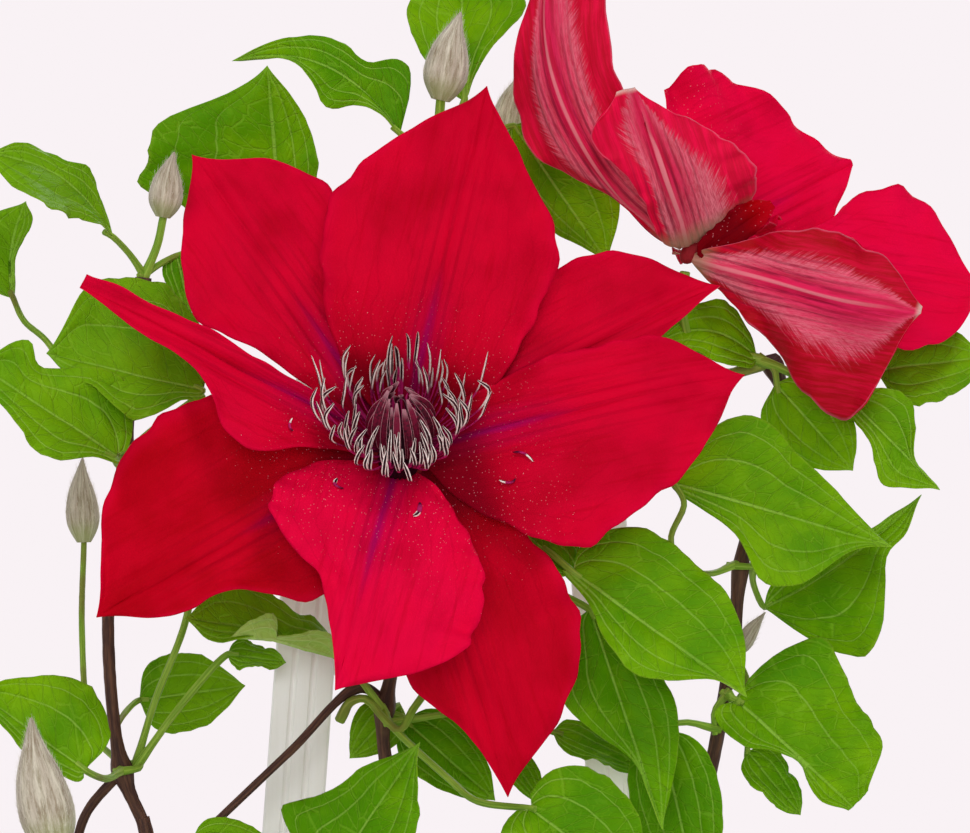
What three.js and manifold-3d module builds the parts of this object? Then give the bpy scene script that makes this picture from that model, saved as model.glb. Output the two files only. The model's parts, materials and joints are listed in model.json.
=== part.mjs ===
// Clematis plant on a moulded ladder trellis, in its nursery pot.
// Millimetres, +Z up. The origin is the middle of the pot's flat bottom.
// A leaf, a petal, a stem and a bud are each one function, and every spray is a list of them.

import * as THREE from 'three';
import { mergeVertices } from 'three/addons/utils/BufferGeometryUtils.js';
import Module from 'manifold-3d';

const wasm = await Module();
wasm.setup();

// Driving dimensions
const POT_HEIGHT = 130;
const POT_TOP_RADIUS = 75;
const POT_BASE_RADIUS = 56;
const POT_WALL = 2;
const POT_SIDES = 24;
const SOIL_LEVEL = 118;
const GAP = 0.3;
const RAIL_WIDTH = 12.4;
const RAIL_DEPTH = 5;
const RAIL_Y = 8;
const RAIL_FOOT_X = 51.2;
const RAIL_FOOT_Z = 50;
const RAIL_TOP_X = 26.7;
const RAIL_TOP_Z = 376;
const RUNG_HEIGHTS = [125.5, 173, 220.5, 268, 315.5, 363];
const RUNG_HEIGHT = 9;
const RUNG_DEPTH = 4;
const LEAF_THICKNESS = 0.7;
const TEPAL_THICKNESS = 0.8;
const BLOOM_CENTRE = [-10.6, -48, 358];
const BACK_BLOOM_CENTRE = [47.4, -22, 397.6];
const STAMEN_COUNT = 35;
const BACK_STAMEN_COUNT = 14;

// Small vector helpers
const plus = (a, b) => [a[0] + b[0], a[1] + b[1], a[2] + b[2]];
const minus = (a, b) => [a[0] - b[0], a[1] - b[1], a[2] - b[2]];
const times = (a, k) => [a[0] * k, a[1] * k, a[2] * k];
const dot = (a, b) => a[0] * b[0] + a[1] * b[1] + a[2] * b[2];
const unit = (a) => times(a, 1 / Math.hypot(...a));
const cross = (a, b) => [
  a[1] * b[2] - a[2] * b[1],
  a[2] * b[0] - a[0] * b[2],
  a[0] * b[1] - a[1] * b[0],
];
const vector = (a) => new THREE.Vector3(...a);

// A seeded draw between 0 and 1
function draws(seed) {
  let state = seed;
  return () => {
    state = (state * 1664525 + 1013904223) % 4294967296;
    return state / 4294967296;
  };
}

// A closed geometry as a solid, and a solid back as a geometry
function solid(geometry) {
  const bare = geometry.clone();
  bare.deleteAttribute('normal');
  bare.deleteAttribute('uv');
  const merged = mergeVertices(bare, 1e-4);
  return new wasm.Manifold(new wasm.Mesh({
    numProp: 3,
    vertProperties: new Float32Array(merged.attributes.position.array),
    triVerts: new Uint32Array(merged.index.array),
  }));
}

function geometryOf(body) {
  const mesh = body.getMesh();
  const geometry = new THREE.BufferGeometry();
  geometry.setAttribute('position', new THREE.BufferAttribute(mesh.vertProperties, 3));
  geometry.setIndex(new THREE.BufferAttribute(mesh.triVerts, 1));
  geometry.computeVertexNormals();
  return geometry;
}

// Solids joined in one body, with slivers finer than the tolerance tidied away.
// The largest piece is kept, and hollows that the joining sealed are filled.
function fuse(solids) {
  let body = solids[0];
  for (const piece of solids.slice(1)) {
    body = body.add(piece);
  }
  const parts = body.simplify(0.12).decompose();
  const shells = parts.filter((part) => part.volume() > 0);
  shells.sort((a, b) => b.volume() - a.volume());
  return shells[0];
}

const group = new THREE.Group();

function place(name, geometry, colour, roughness, metalness = 0) {
  const material = new THREE.MeshStandardMaterial({ color: colour, roughness, metalness });
  const mesh = new THREE.Mesh(geometry, material);
  mesh.name = name;
  group.add(mesh);
  return mesh;
}

const GREEN = 0x6fa51e;
const BROWN = 0x4a2f26;
const RED = 0xc20a22;
const SILVER = 0xb0a596;
const WHITE = 0xf1efec;
const WINE = 0x5a1630;

// Smooth values through a list spread evenly over 0 to 1
function through(list, t) {
  const last = list.length - 1;
  const along = Math.min(Math.max(t, 0), 1) * last;
  const i = Math.min(Math.floor(along), last - 1);
  const f = along - i;
  const p1 = list[i];
  const p2 = list[i + 1];
  const p0 = i > 0 ? list[i - 1] : 2 * p1 - p2;
  const p3 = i + 2 <= last ? list[i + 2] : 2 * p2 - p1;
  const m1 = (p2 - p0) / 2;
  const m2 = (p3 - p1) / 2;
  return p1 + f * (m1 + f * (3 * (p2 - p1) - 2 * m1 - m2 + f * (m1 + m2 - 2 * (p2 - p1))));
}

// Egg-shaped leaf: half-width over its greatest, widest a third of the way up
function eggShape(u) {
  return 2.49 * Math.sqrt(u) * Math.pow(1 - u, 0.9);
}

// A point of a blade, at u from base to tip and v from left margin (-1) to right margin (1).
// face is the side that its upper surface looks to.
function bladePoint(blade, u, v) {
  const axis = minus(blade.tip, blade.base);
  const length = Math.hypot(...axis);
  const a = unit(axis);
  const n = unit(minus(blade.face, times(a, dot(blade.face, a))));
  const b = cross(a, n);
  const side = Math.abs(v);
  const stalk = blade.stalk ?? 0;
  const up = Math.max(0, (u - stalk) / (1 - stalk));
  let half = blade.left ? through(v < 0 ? blade.left : blade.right, u) : blade.half * eggShape(up);
  half = Math.max(half, 0.45);
  const hump = 4 * u * (1 - u);
  const cycle = (blade.waves ?? 2) * u + (v > 0 ? 0.5 : 0) + (blade.phase ?? 0);
  const fold = blade.fold ?? 0.2;
  const turn = (blade.twist ?? 0) * (u - 0.3);
  const across = v * half * Math.cos(fold);
  const lift = side * half * Math.sin(fold)
    + (up > 0 ? blade.wave ?? 1 : 0) * v * v * Math.sin(2 * Math.PI * cycle)
    - (blade.cup ?? 0) * v * v * hump;
  const along = length * u - (up > 0 ? blade.heart ?? 0 : 0) * v * v * Math.pow(1 - up, 4);
  const bx = across * Math.cos(turn) - lift * Math.sin(turn) + (blade.bend ?? 0) * hump;
  const nx = across * Math.sin(turn) + lift * Math.cos(turn) + (blade.arch ?? 0) * hump;
  return plus(blade.base, plus(times(a, along), plus(times(b, bx), times(n, nx))));
}

// The blade as a closed sheet, split alike on both faces
function bladeSolid(blade, rows, columns, thickness) {
  const points = [bladePoint(blade, 0, 0)];
  for (const u of rows) {
    for (const v of columns) {
      points.push(bladePoint(blade, u, v));
    }
  }
  points.push(bladePoint(blade, 1, 0));
  const wide = columns.length;
  const end = points.length - 1;
  const faces = [];
  for (let j = 0; j < wide - 1; j += 1) {
    faces.push([0, 2 + j, 1 + j]);
    const top = 1 + (rows.length - 1) * wide + j;
    faces.push([end, top, top + 1]);
  }
  for (let i = 0; i < rows.length - 1; i += 1) {
    for (let j = 0; j < wide - 1; j += 1) {
      const p = 1 + i * wide + j;
      const q = p + wide;
      if (j < (wide - 1) / 2) {
        faces.push([p, p + 1, q], [p + 1, q + 1, q]);
      } else {
        faces.push([p, p + 1, q + 1], [p, q + 1, q]);
      }
    }
  }
  const sheet = new THREE.BufferGeometry();
  sheet.setAttribute('position', new THREE.Float32BufferAttribute(points.flat(), 3));
  sheet.setIndex(faces.flat());
  sheet.computeVertexNormals();
  const normals = sheet.attributes.normal;
  const upper = [];
  const lower = [];
  points.forEach((point, i) => {
    const normal = [normals.getX(i), normals.getY(i), normals.getZ(i)];
    upper.push(plus(point, times(normal, thickness / 2)));
    lower.push(minus(point, times(normal, thickness / 2)));
  });
  const count = points.length;
  const rim = [0];
  for (let i = 0; i < rows.length; i += 1) {
    rim.push(1 + i * wide + wide - 1);
  }
  rim.push(end);
  for (let i = rows.length - 1; i >= 0; i -= 1) {
    rim.push(1 + i * wide);
  }
  const closed = [];
  for (const [p, q, r] of faces) {
    closed.push(p, q, r, count + r, count + q, count + p);
  }
  rim.forEach((p, i) => {
    const q = rim[(i + 1) % rim.length];
    closed.push(q, p, count + p, q, count + p, count + q);
  });
  const geometry = new THREE.BufferGeometry();
  geometry.setAttribute('position', new THREE.Float32BufferAttribute([...upper, ...lower].flat(), 3));
  geometry.setIndex(closed);
  return solid(geometry);
}

const LEAF_ROWS = [0.07, 0.22, 0.42, 0.64, 0.85];
const LEAF_COLUMNS = [-1, -0.5, 0, 0.5, 1];
const SMALL_ROWS = [0.08, 0.3, 0.55, 0.8];
const STALKED_ROWS = [0.19, 0.27, 0.5, 0.78];
const SMALL_COLUMNS = [-1, 0, 1];
const TEPAL_ROWS = [0.12, 0.28, 0.44, 0.6, 0.76, 0.91];
const TEPAL_COLUMNS = [-1, -0.5, 0, 0.5, 1];

const leaf = (blade) => bladeSolid(blade, LEAF_ROWS, LEAF_COLUMNS, LEAF_THICKNESS);
const smallLeaf = (blade) => bladeSolid(blade, SMALL_ROWS, SMALL_COLUMNS, LEAF_THICKNESS);
const stalkedLeaf = (blade) => bladeSolid(blade, STALKED_ROWS, SMALL_COLUMNS, LEAF_THICKNESS);
const tepal = (blade) => bladeSolid(blade, TEPAL_ROWS, TEPAL_COLUMNS, TEPAL_THICKNESS);

// A round stem along a smooth curve through points
function stem(points, radius, sides = 5, steps = 0) {
  const shape = new THREE.Shape();
  for (let i = 0; i < sides; i += 1) {
    const angle = 2 * Math.PI * i / sides;
    const x = radius * Math.cos(angle);
    const y = radius * Math.sin(angle);
    if (i === 0) {
      shape.moveTo(x, y);
    } else {
      shape.lineTo(x, y);
    }
  }
  shape.closePath();
  const path = new THREE.CatmullRomCurve3(points.map(vector));
  return solid(new THREE.ExtrudeGeometry(shape, {
    steps: steps || 2 * (points.length - 1),
    extrudePath: path,
  }));
}

// A knot on a stem, where leaves and shoots leave it
function knot(centre, radius) {
  const geometry = new THREE.IcosahedronGeometry(radius, 0);
  geometry.translate(...centre);
  return solid(geometry);
}

// A closed bud: a pointed spindle with shallow ridges
function bud(base, tip, radius, sides = 7) {
  const axis = minus(tip, base);
  const length = Math.hypot(...axis);
  const rows = [[0.42, 0], [0.82, 0.14], [1, 0.34], [0.86, 0.58], [0.44, 0.83]];
  const profile = [new THREE.Vector2(0, 0)];
  for (const [wide, high] of rows) {
    profile.push(new THREE.Vector2(radius * wide, length * high));
  }
  profile.push(new THREE.Vector2(0, length));
  const geometry = new THREE.LatheGeometry(profile, sides);
  const turn = new THREE.Quaternion();
  turn.setFromUnitVectors(new THREE.Vector3(0, 1, 0), vector(unit(axis)));
  geometry.applyQuaternion(turn);
  geometry.translate(...base);
  return geometry;
}

// Pot: a lathed thin wall with a rolled rim and six drain holes round the flat middle
const potProfile = [
  [0, 0],
  [POT_BASE_RADIUS - 1.5, 0],
  [POT_BASE_RADIUS, 1.5],
  [POT_TOP_RADIUS - 3, POT_HEIGHT - 14],
  [POT_TOP_RADIUS - 0.4, POT_HEIGHT - 13],
  [POT_TOP_RADIUS, POT_HEIGHT - 1],
  [POT_TOP_RADIUS - 1, POT_HEIGHT],
  [POT_TOP_RADIUS - 2.2, POT_HEIGHT - 0.8],
  [POT_TOP_RADIUS - 3.4 - POT_WALL, POT_HEIGHT - 15],
  [POT_BASE_RADIUS - POT_WALL, 3.2],
  [POT_BASE_RADIUS - POT_WALL - 2, 2],
  [0, 2],
];
const potLathe = new THREE.LatheGeometry(potProfile.map(([x, y]) => new THREE.Vector2(x, y)), POT_SIDES);
potLathe.rotateX(Math.PI / 2);
let pot = solid(potLathe);
for (let i = 0; i < 6; i += 1) {
  const angle = Math.PI * (i + 0.5) / 3;
  const hole = new THREE.CylinderGeometry(4.5, 4.5, 8, 8);
  hole.rotateX(Math.PI / 2);
  hole.translate(38 * Math.cos(angle), 38 * Math.sin(angle), 1);
  pot = pot.subtract(solid(hole));
}
place('pot', geometryOf(pot), 0x2e2f31, 0.6);

// Trellis: two ribbed rails that lean together, an arched top and six rungs, moulded as one
function railShape(width, depth) {
  const w = width / 2;
  const d = depth / 2;
  const g = 0.7;
  const shape = new THREE.Shape();
  shape.moveTo(-w, -d + g);
  shape.lineTo(-w + g, -d);
  shape.lineTo(-w * 0.42, -d);
  shape.lineTo(-w * 0.32, -d + g);
  shape.lineTo(-w * 0.22, -d);
  shape.lineTo(w * 0.22, -d);
  shape.lineTo(w * 0.32, -d + g);
  shape.lineTo(w * 0.42, -d);
  shape.lineTo(w - g, -d);
  shape.lineTo(w, -d + g);
  shape.lineTo(w, d);
  shape.lineTo(-w, d);
  shape.closePath();
  return shape;
}

function barBetween(shape, from, to) {
  const length = Math.hypot(...minus(to, from));
  const geometry = new THREE.ExtrudeGeometry(shape, { depth: length, bevelEnabled: false });
  const z = vector(unit(minus(to, from)));
  const y = new THREE.Vector3(0, 1, 0);
  const x = new THREE.Vector3().crossVectors(y, z).normalize();
  y.crossVectors(z, x);
  geometry.applyMatrix4(new THREE.Matrix4().makeBasis(x, y, z).setPosition(...from));
  return geometry;
}

const railX = (z) => RAIL_FOOT_X
  + (RAIL_TOP_X - RAIL_FOOT_X) * (z - RAIL_FOOT_Z) / (RAIL_TOP_Z - RAIL_FOOT_Z);
const railParts = [];
for (const side of [-1, 1]) {
  railParts.push(solid(barBetween(
    railShape(RAIL_WIDTH, RAIL_DEPTH),
    [side * RAIL_FOOT_X, RAIL_Y, RAIL_FOOT_Z],
    [side * RAIL_TOP_X, RAIL_Y, RAIL_TOP_Z],
  )));
}
for (const z of RUNG_HEIGHTS) {
  const reach = railX(z) - 2;
  const rung = new THREE.BoxGeometry(2 * reach, RUNG_DEPTH, RUNG_HEIGHT);
  rung.translate(0, RAIL_Y, z);
  railParts.push(solid(rung));
}
const archShape = new THREE.Shape();
archShape.moveTo(-RAIL_TOP_X - 6, 0);
archShape.bezierCurveTo(-RAIL_TOP_X - 4, 22, -14, 24, 0, 24);
archShape.bezierCurveTo(14, 24, RAIL_TOP_X + 4, 22, RAIL_TOP_X + 6, 0);
archShape.lineTo(RAIL_TOP_X - 6, 0);
archShape.bezierCurveTo(RAIL_TOP_X - 8, 12, 10, 14, 0, 14);
archShape.bezierCurveTo(-10, 14, -RAIL_TOP_X + 8, 12, -RAIL_TOP_X + 6, 0);
archShape.closePath();
const arch = new THREE.ExtrudeGeometry(archShape, {
  depth: RAIL_DEPTH - 0.8,
  bevelEnabled: false,
  curveSegments: 6,
});
arch.rotateX(Math.PI / 2);
arch.translate(0, RAIL_Y + RAIL_DEPTH / 2 - 0.4, RAIL_TOP_Z - 6);
railParts.push(solid(arch));
const trellis = fuse(railParts);
place('trellis', geometryOf(trellis), WHITE, 0.4);

// Soil: a plug that fills the pot, lumpy on top, with plain holes for rails and stems
const soilRadius = (z) => {
  const t = (z - 3.2) / (POT_HEIGHT - 15 - 3.2);
  return POT_BASE_RADIUS - POT_WALL + t * (POT_TOP_RADIUS - 3.4 - POT_BASE_RADIUS) - GAP;
};
const soilProfile = [
  [0, 2 + GAP],
  [POT_BASE_RADIUS - POT_WALL - 2, 2 + GAP],
  [soilRadius(5), 5],
  [soilRadius(SOIL_LEVEL - 5), SOIL_LEVEL - 5],
  [56, SOIL_LEVEL - 1.5],
  [38, SOIL_LEVEL],
  [18, SOIL_LEVEL + 0.6],
  [0, SOIL_LEVEL + 1],
];
const soilOutline = soilProfile.map(([x, y]) => new THREE.Vector2(x, y));
const soilLathe = new THREE.LatheGeometry(soilOutline, POT_SIDES);
soilLathe.rotateX(Math.PI / 2);
const soilPoints = soilLathe.attributes.position;
for (let i = 0; i < soilPoints.count; i += 1) {
  const x = soilPoints.getX(i);
  const y = soilPoints.getY(i);
  const z = soilPoints.getZ(i);
  if (z > SOIL_LEVEL - 4) {
    const lumps = 1.3 * Math.sin(0.17 * x + 1) * Math.cos(0.21 * y) + 0.7 * Math.sin(0.31 * x + 0.23 * y);
    soilPoints.setZ(i, z + lumps);
  }
}
let soil = solid(soilLathe);
for (const side of [-1, 1]) {
  const slot = new THREE.Shape();
  const w = RAIL_WIDTH / 2 + GAP;
  const d = RAIL_DEPTH / 2 + GAP;
  slot.moveTo(-w, -d);
  slot.lineTo(w, -d);
  slot.lineTo(w, d);
  slot.lineTo(-w, d);
  slot.closePath();
  const lean = (RAIL_TOP_X - RAIL_FOOT_X) / (RAIL_TOP_Z - RAIL_FOOT_Z);
  soil = soil.subtract(solid(barBetween(
    slot,
    [side * (RAIL_FOOT_X - GAP * lean), RAIL_Y, RAIL_FOOT_Z - GAP],
    [side * railX(180), RAIL_Y, 180],
  )));
}

// The three woody stems: where each rises from the soil and the points that it climbs through
const WOOD_RADIUS = 1.9;
const WOOD_ROOT_Z = 96;
const LEFT_LOW = [
  [-14, 1, WOOD_ROOT_Z], [-14, 1, 124], [-17, 0, 146], [-27, -3, 176],
  [-44, -6, 214], [-56, -8, 250], [-64, -9, 281],
];
const MIDDLE_LOW = [
  [1, -3, WOOD_ROOT_Z], [1, -3, 124], [0, -3, 150], [-3, -4, 190], [-8, -3, 236], [-12, -3, 281],
];
const RIGHT_LOW = [
  [15, 1, WOOD_ROOT_Z], [15, 1, 124], [18, 0, 146], [27, -2, 180],
  [37, -3, 220], [45, -4, 252], [50, -5, 281],
];
for (const path of [LEFT_LOW, MIDDLE_LOW, RIGHT_LOW]) {
  const [x, y] = path[0];
  const hole = new THREE.CylinderGeometry(WOOD_RADIUS + 0.5, WOOD_RADIUS + 0.5, 60, 8);
  hole.rotateX(Math.PI / 2);
  hole.translate(x, y, WOOD_ROOT_Z + 29.5);
  soil = soil.subtract(solid(hole));
}
place('soil', geometryOf(soil), 0x3a2a20, 0.95);

// A leaf of a stem: a petiole out to the side, with one blade or with three leaflets on short stalks
function sideLeaf(start, out, size, draw, rise, leaflets) {
  const side = unit(cross(out, [0, 0, 1]));
  const reach = 24 * size + 6 * draw();
  const hub = plus(start, plus(times(out, reach), [0, 0, rise]));
  const middle = plus(start, plus(times(out, reach * 0.45), [0, 0, rise * 0.75]));
  const parts = [stem([start, middle, hub], 0.8, 3, 3)];
  const swing = 0.35 * (draw() - 0.5);
  for (const turn of leaflets === 3 ? [0, -1, 1] : [0]) {
    const angle = turn * (1.25 + 0.2 * draw()) + swing;
    const aim = unit(plus(times(out, Math.cos(angle)), times(side, Math.sin(angle))));
    const length = (turn === 0 ? 58 : 48) * size * (0.92 + 0.16 * draw());
    const base = minus(hub, times(aim, 0.4));
    const tip = plus(hub, plus(times(aim, length * 0.92), [0, 0, -length * (0.24 + 0.18 * draw())]));
    parts.push(stalkedLeaf({
      base,
      tip,
      face: plus(times(out, 0.25), [0, 0, 1]),
      half: length * 0.28,
      stalk: 0.2,
      heart: 3,
      fold: 0.18,
      arch: 0.09 * length,
      wave: 1.2,
      waves: 1.5,
      phase: draw(),
    }));
  }
  return parts;
}

// Leaf pairs along a stem. A pair is its place on the stem, its lean to the side, its size,
// the petioles' rise, and how many leaflets its front leaf and its back leaf have.
function leafyStem(path, nodes, seed) {
  const draw = draws(seed);
  const curve = new THREE.CatmullRomCurve3(path.map(vector));
  const parts = [stem(path, WOOD_RADIUS, 6)];
  for (const [share, lean, size, rise, front, back] of nodes) {
    const at = curve.getPoint(share);
    const centre = [at.x, at.y, at.z];
    parts.push(...sideLeaf(centre, unit([lean, -1, 0]), size, draw, rise, front));
    parts.push(...sideLeaf(centre, unit([lean, 1, 0]), size, draw, rise, back));
  }
  return fuse(parts);
}

const LOW_LEAVES = {
  leafy_stem_left: [
    LEFT_LOW, [[0.4, -0.5, 0.8, 10, 1, 1], [0.5, -0.35, 1, 12, 3, 3], [0.75, -0.7, 1, 9, 3, 1]], 13,
  ],
  leafy_stem_middle: [MIDDLE_LOW, [[0.25, 0.1, 0.8, 12, 3, 1], [0.75, -0.1, 1, 12, 3, 3]], 23],
  leafy_stem_right: [
    RIGHT_LOW, [[0.4, 0.5, 0.8, 10, 1, 1], [0.53, 0.35, 1, 12, 3, 3], [0.76, 0.7, 1, 9, 3, 1]], 37,
  ],
};
for (const [name, [path, nodes, seed]] of Object.entries(LOW_LEAVES)) {
  place(name, geometryOf(leafyStem(path, nodes, seed)), GREEN, 0.55);
}

// Woody stems of the upper part
const LEFT_WOOD = [
  [-64.3, -9, 281.4], [-68.5, -10, 292], [-71.4, -10, 324],
  [-68, -6, 358], [-64.5, -5, 392],
];
const LEFT_WOOD_SIDE = [[-68.5, -10, 292], [-76, -9, 283], [-79, -8, 272]];
place('stem_left', geometryOf(fuse([
  stem(LEFT_WOOD, 1.4, 6),
  stem(LEFT_WOOD_SIDE, 1.2, 5),
  knot([-68.5, -10, 292], 2.3),
])), BROWN, 0.6);
const MIDDLE_WOOD = [
  [-12, -3, 281.4], [-15, -6, 300], [-12, -10, 318], [-8, -8, 345],
  [-5, -5, 372], [-2, -4, 396], [-4, -6, 415],
];
const MIDDLE_SIDE = [[-14, -7, 306], [-20, -10, 309], [-34, -14, 296], [-52, -18, 279]];
const BLOOM_STALK = [[-9, -9, 328], [-9, -16, 336], [-10, -30, 350], [-10.6, -43.8, 357.4]];
place('stem_middle', geometryOf(fuse([
  stem(MIDDLE_WOOD, 1.4, 6),
  stem(MIDDLE_SIDE, 0.9, 5),
  stem(BLOOM_STALK, 1.2, 6),
  knot([-14, -6, 305], 2.3),
  knot([-9, -9, 328], 2),
])), BROWN, 0.6);
const RIGHT_WOOD = [
  [50.3, -5, 281.4], [54, -7, 300], [57, -6, 318], [59.5, -4, 338],
  [66, -4, 357], [67.5, -8, 368], [64.9, -12, 375.5],
];
place('stem_right', geometryOf(fuse([
  stem(RIGHT_WOOD, 1.4, 6),
  knot([64.9, -12, 375.5], 2.3),
])), BROWN, 0.6);

// Front bloom: eight tepals in two layers. Each lists its half-widths from base to tip.
const FRONT = [0, -1, 0.15];
const c = BLOOM_CENTRE;
const FRONT_TEPALS = [
  {
    base: [-13, -47.5, 361], tip: [-53, -40, 417.4],
    face: FRONT, bend: 0, arch: 5, fold: 0.05, wave: 0.9, waves: 3,
    left: [4, 7, 12, 18.5, 12, 0], right: [4, 7, 12, 18.5, 15, 0],
  },
  {
    base: [-8, -47.5, 360], tip: [53.4, -42, 391],
    face: FRONT, bend: 0, arch: 4, fold: 0.05, wave: 0.9, waves: 3,
    left: [4, 8, 12, 17.5, 14, 0], right: [4, 8, 11, 7, 3.6, 0],
  },
  {
    base: [-9.5, -47.5, 355], tip: [10.6, -50, 288.6],
    face: FRONT, bend: 0, arch: 3, fold: 0.05, wave: 0.9, waves: 3,
    left: [5, 15, 22, 23.5, 16, 0], right: [5, 10, 12, 12.5, 4, 0],
  },
  {
    base: [-13.5, -47.5, 357], tip: [-71.6, -52, 324.6],
    face: FRONT, bend: 0, arch: 3, fold: 0.05, wave: 0.9, waves: 3,
    left: [6, 14, 19, 9, 7.5, 0], right: [8, 20, 27.5, 27.5, 20, 0],
  },
  {
    base: [-10.4, -49, 361], tip: [6.4, -44, 431],
    face: FRONT, bend: 0, arch: 5, fold: 0.08, wave: 0.9, waves: 3,
    left: [5, 17.5, 23.5, 24.5, 15, 0], right: [5, 16, 20.5, 21.8, 11.5, 0],
  },
  {
    base: [-7.5, -49, 358], tip: [58, -48, 373],
    face: FRONT, bend: 0, arch: 6, fold: 0.05, wave: 0.9, waves: 3,
    left: [4, 8, 11, 11.5, 10, 0], right: [6, 19, 27, 22.5, 15, 0],
  },
  {
    base: [-11.5, -49, 355], tip: [-23.6, -68, 310.6],
    face: FRONT, bend: 0, arch: 6, fold: 0.05, wave: 0.9, waves: 3,
    left: [6, 15, 22, 24, 20, 0], right: [10, 21, 21, 9, 3.5, 0],
  },
  {
    base: [-13.6, -49, 359], tip: [-74.6, -58, 390.4],
    face: FRONT, bend: 0, arch: 3, fold: 0.5, wave: 0.4, waves: 2,
    left: [3, 9, 16.5, 5.5, 3.2, 0], right: [3, 3, 3, 4.4, 3.6, 5],
  },
];

// The flat knob at the middle of a bloom that its tepals grow from
function receptacle(centre, radius, flat) {
  const geometry = new THREE.SphereGeometry(radius, 8, 5);
  geometry.scale(1, flat, 1);
  geometry.translate(...centre);
  return solid(geometry);
}
place('front_bloom_tepals', geometryOf(fuse([
  receptacle(plus(c, [0, 0.5, 0]), 6.5, 0.5),
  ...FRONT_TEPALS.map(tepal),
])), RED, 0.5);

// Stamens: bowed threads that rise from a cushion in rings and spread towards their tips
function stamens(centre, axis, up, count, height, spread, lift, cushionRadius, seed) {
  const draw = draws(seed);
  const n = unit(axis);
  const s = unit(cross(up, n));
  const t = cross(n, s);
  const cushion = new THREE.SphereGeometry(cushionRadius, 8, 5);
  cushion.scale(1, 1, 0.45);
  const frame = new THREE.Matrix4().makeBasis(vector(s), vector(t), vector(n));
  cushion.applyMatrix4(frame.setPosition(...centre));
  const parts = [solid(cushion)];
  for (let i = 0; i < count; i += 1) {
    const ring = Math.sqrt((i + 0.5) / count);
    const angle = i * 2.39996 + 0.3 * draw();
    const aim = plus(times(s, Math.cos(angle)), times(t, Math.sin(angle)));
    const foot = plus(centre, times(aim, 0.87 * cushionRadius * ring));
    const far = spread * ring * (0.8 + 0.4 * draw());
    const high = height * (1.1 - 0.45 * ring) * (0.85 + 0.3 * draw());
    const rise = times(t, lift * (0.7 + 0.5 * draw()));
    const elbow = plus(foot, plus(times(n, high * 0.55), plus(times(aim, far * 0.42), times(rise, 0.4))));
    const tip = plus(foot, plus(times(n, high), plus(times(aim, far), rise)));
    parts.push(stem([foot, elbow, tip], 0.45, 3, 2));
  }
  return fuse(parts);
}
place('front_bloom_stamens', geometryOf(stamens(
  plus(c, [-0.4, -7.1, -3]), [0, -0.72, 0.69], [0, 0, 1], STAMEN_COUNT, 19, 11, 0, 5.4, 5,
)), WINE, 0.5);

// Back bloom: it looks away to the upper right, so that its tepals show their backs
const BACK_FACE = unit([0.6, 0.2, 0.77]);
const BACK_TEPALS = [
  {
    base: [46, -22, 399], tip: [20.2, -24, 464],
    face: [0.15, 0.9, 0.35], bend: 11, arch: -4, fold: 0.2, wave: 1.2, waves: 3,
    left: [3, 8, 11, 13, 11.5, 3], right: [2, 1.6, 10, 10, 5, 0],
  },
  {
    base: [47, -23, 399.5], tip: [36.2, -34, 431.2],
    face: [0, 1, 0], bend: 0, arch: -10, fold: 0.3, wave: 0.8, waves: 2,
    left: [14, 18, 18.5, 14, 7, 0], right: [4, 5.5, 6, 8, 12, 6],
  },
  {
    base: [48, -20, 399.5], tip: [82.5, 10, 417],
    face: [0.53, -0.77, 0.27], bend: 0, arch: -3, fold: 0.15, wave: 1.4, waves: 3,
    left: [6, 28, 33, 27, 14, 2], right: [4, 8, 9, 9, 7.5, 0],
  },
  {
    base: [49, -20, 397], tip: [110, 8, 391],
    face: [-0.2, -0.9, 0.4], bend: 0, arch: 3, fold: 0.15, wave: 1.2, waves: 3,
    left: [4, 6, 8, 18.5, 15.5, 0], right: [4, 11, 17, 19, 15, 0],
  },
  {
    base: [48, -22.5, 397], tip: [94, -36, 385.6],
    face: [0.1, 1, 0.2], bend: 0, arch: -5, fold: 0.2, wave: 1, waves: 3,
    left: [2, 6, 13, 22, 25, 0], right: [2, 6, 11, 12.5, 10, 2],
  },
  {
    base: [48, -20, 398], tip: [66, 18, 406],
    face: [-0.3, -0.2, 0.9], bend: 0, arch: -2, fold: 0.2, wave: 1, waves: 2,
    left: [4, 8, 10, 10, 7, 0], right: [4, 8, 10, 10, 7, 0],
  },
];
const k = BACK_BLOOM_CENTRE;
const backCup = new THREE.SphereGeometry(4, 8, 6);
backCup.translate(...k);
place('back_bloom_tepals', geometryOf(fuse([
  solid(backCup),
  ...BACK_TEPALS.map(tepal),
])), RED, 0.5);
place('back_bloom_stamens', geometryOf(stamens(
  plus(k, [5.6, 3.6, 6.2]), BACK_FACE, [0, 0, 1], BACK_STAMEN_COUNT, 13, 4, 0, 3, 9,
)), WINE, 0.5);

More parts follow.
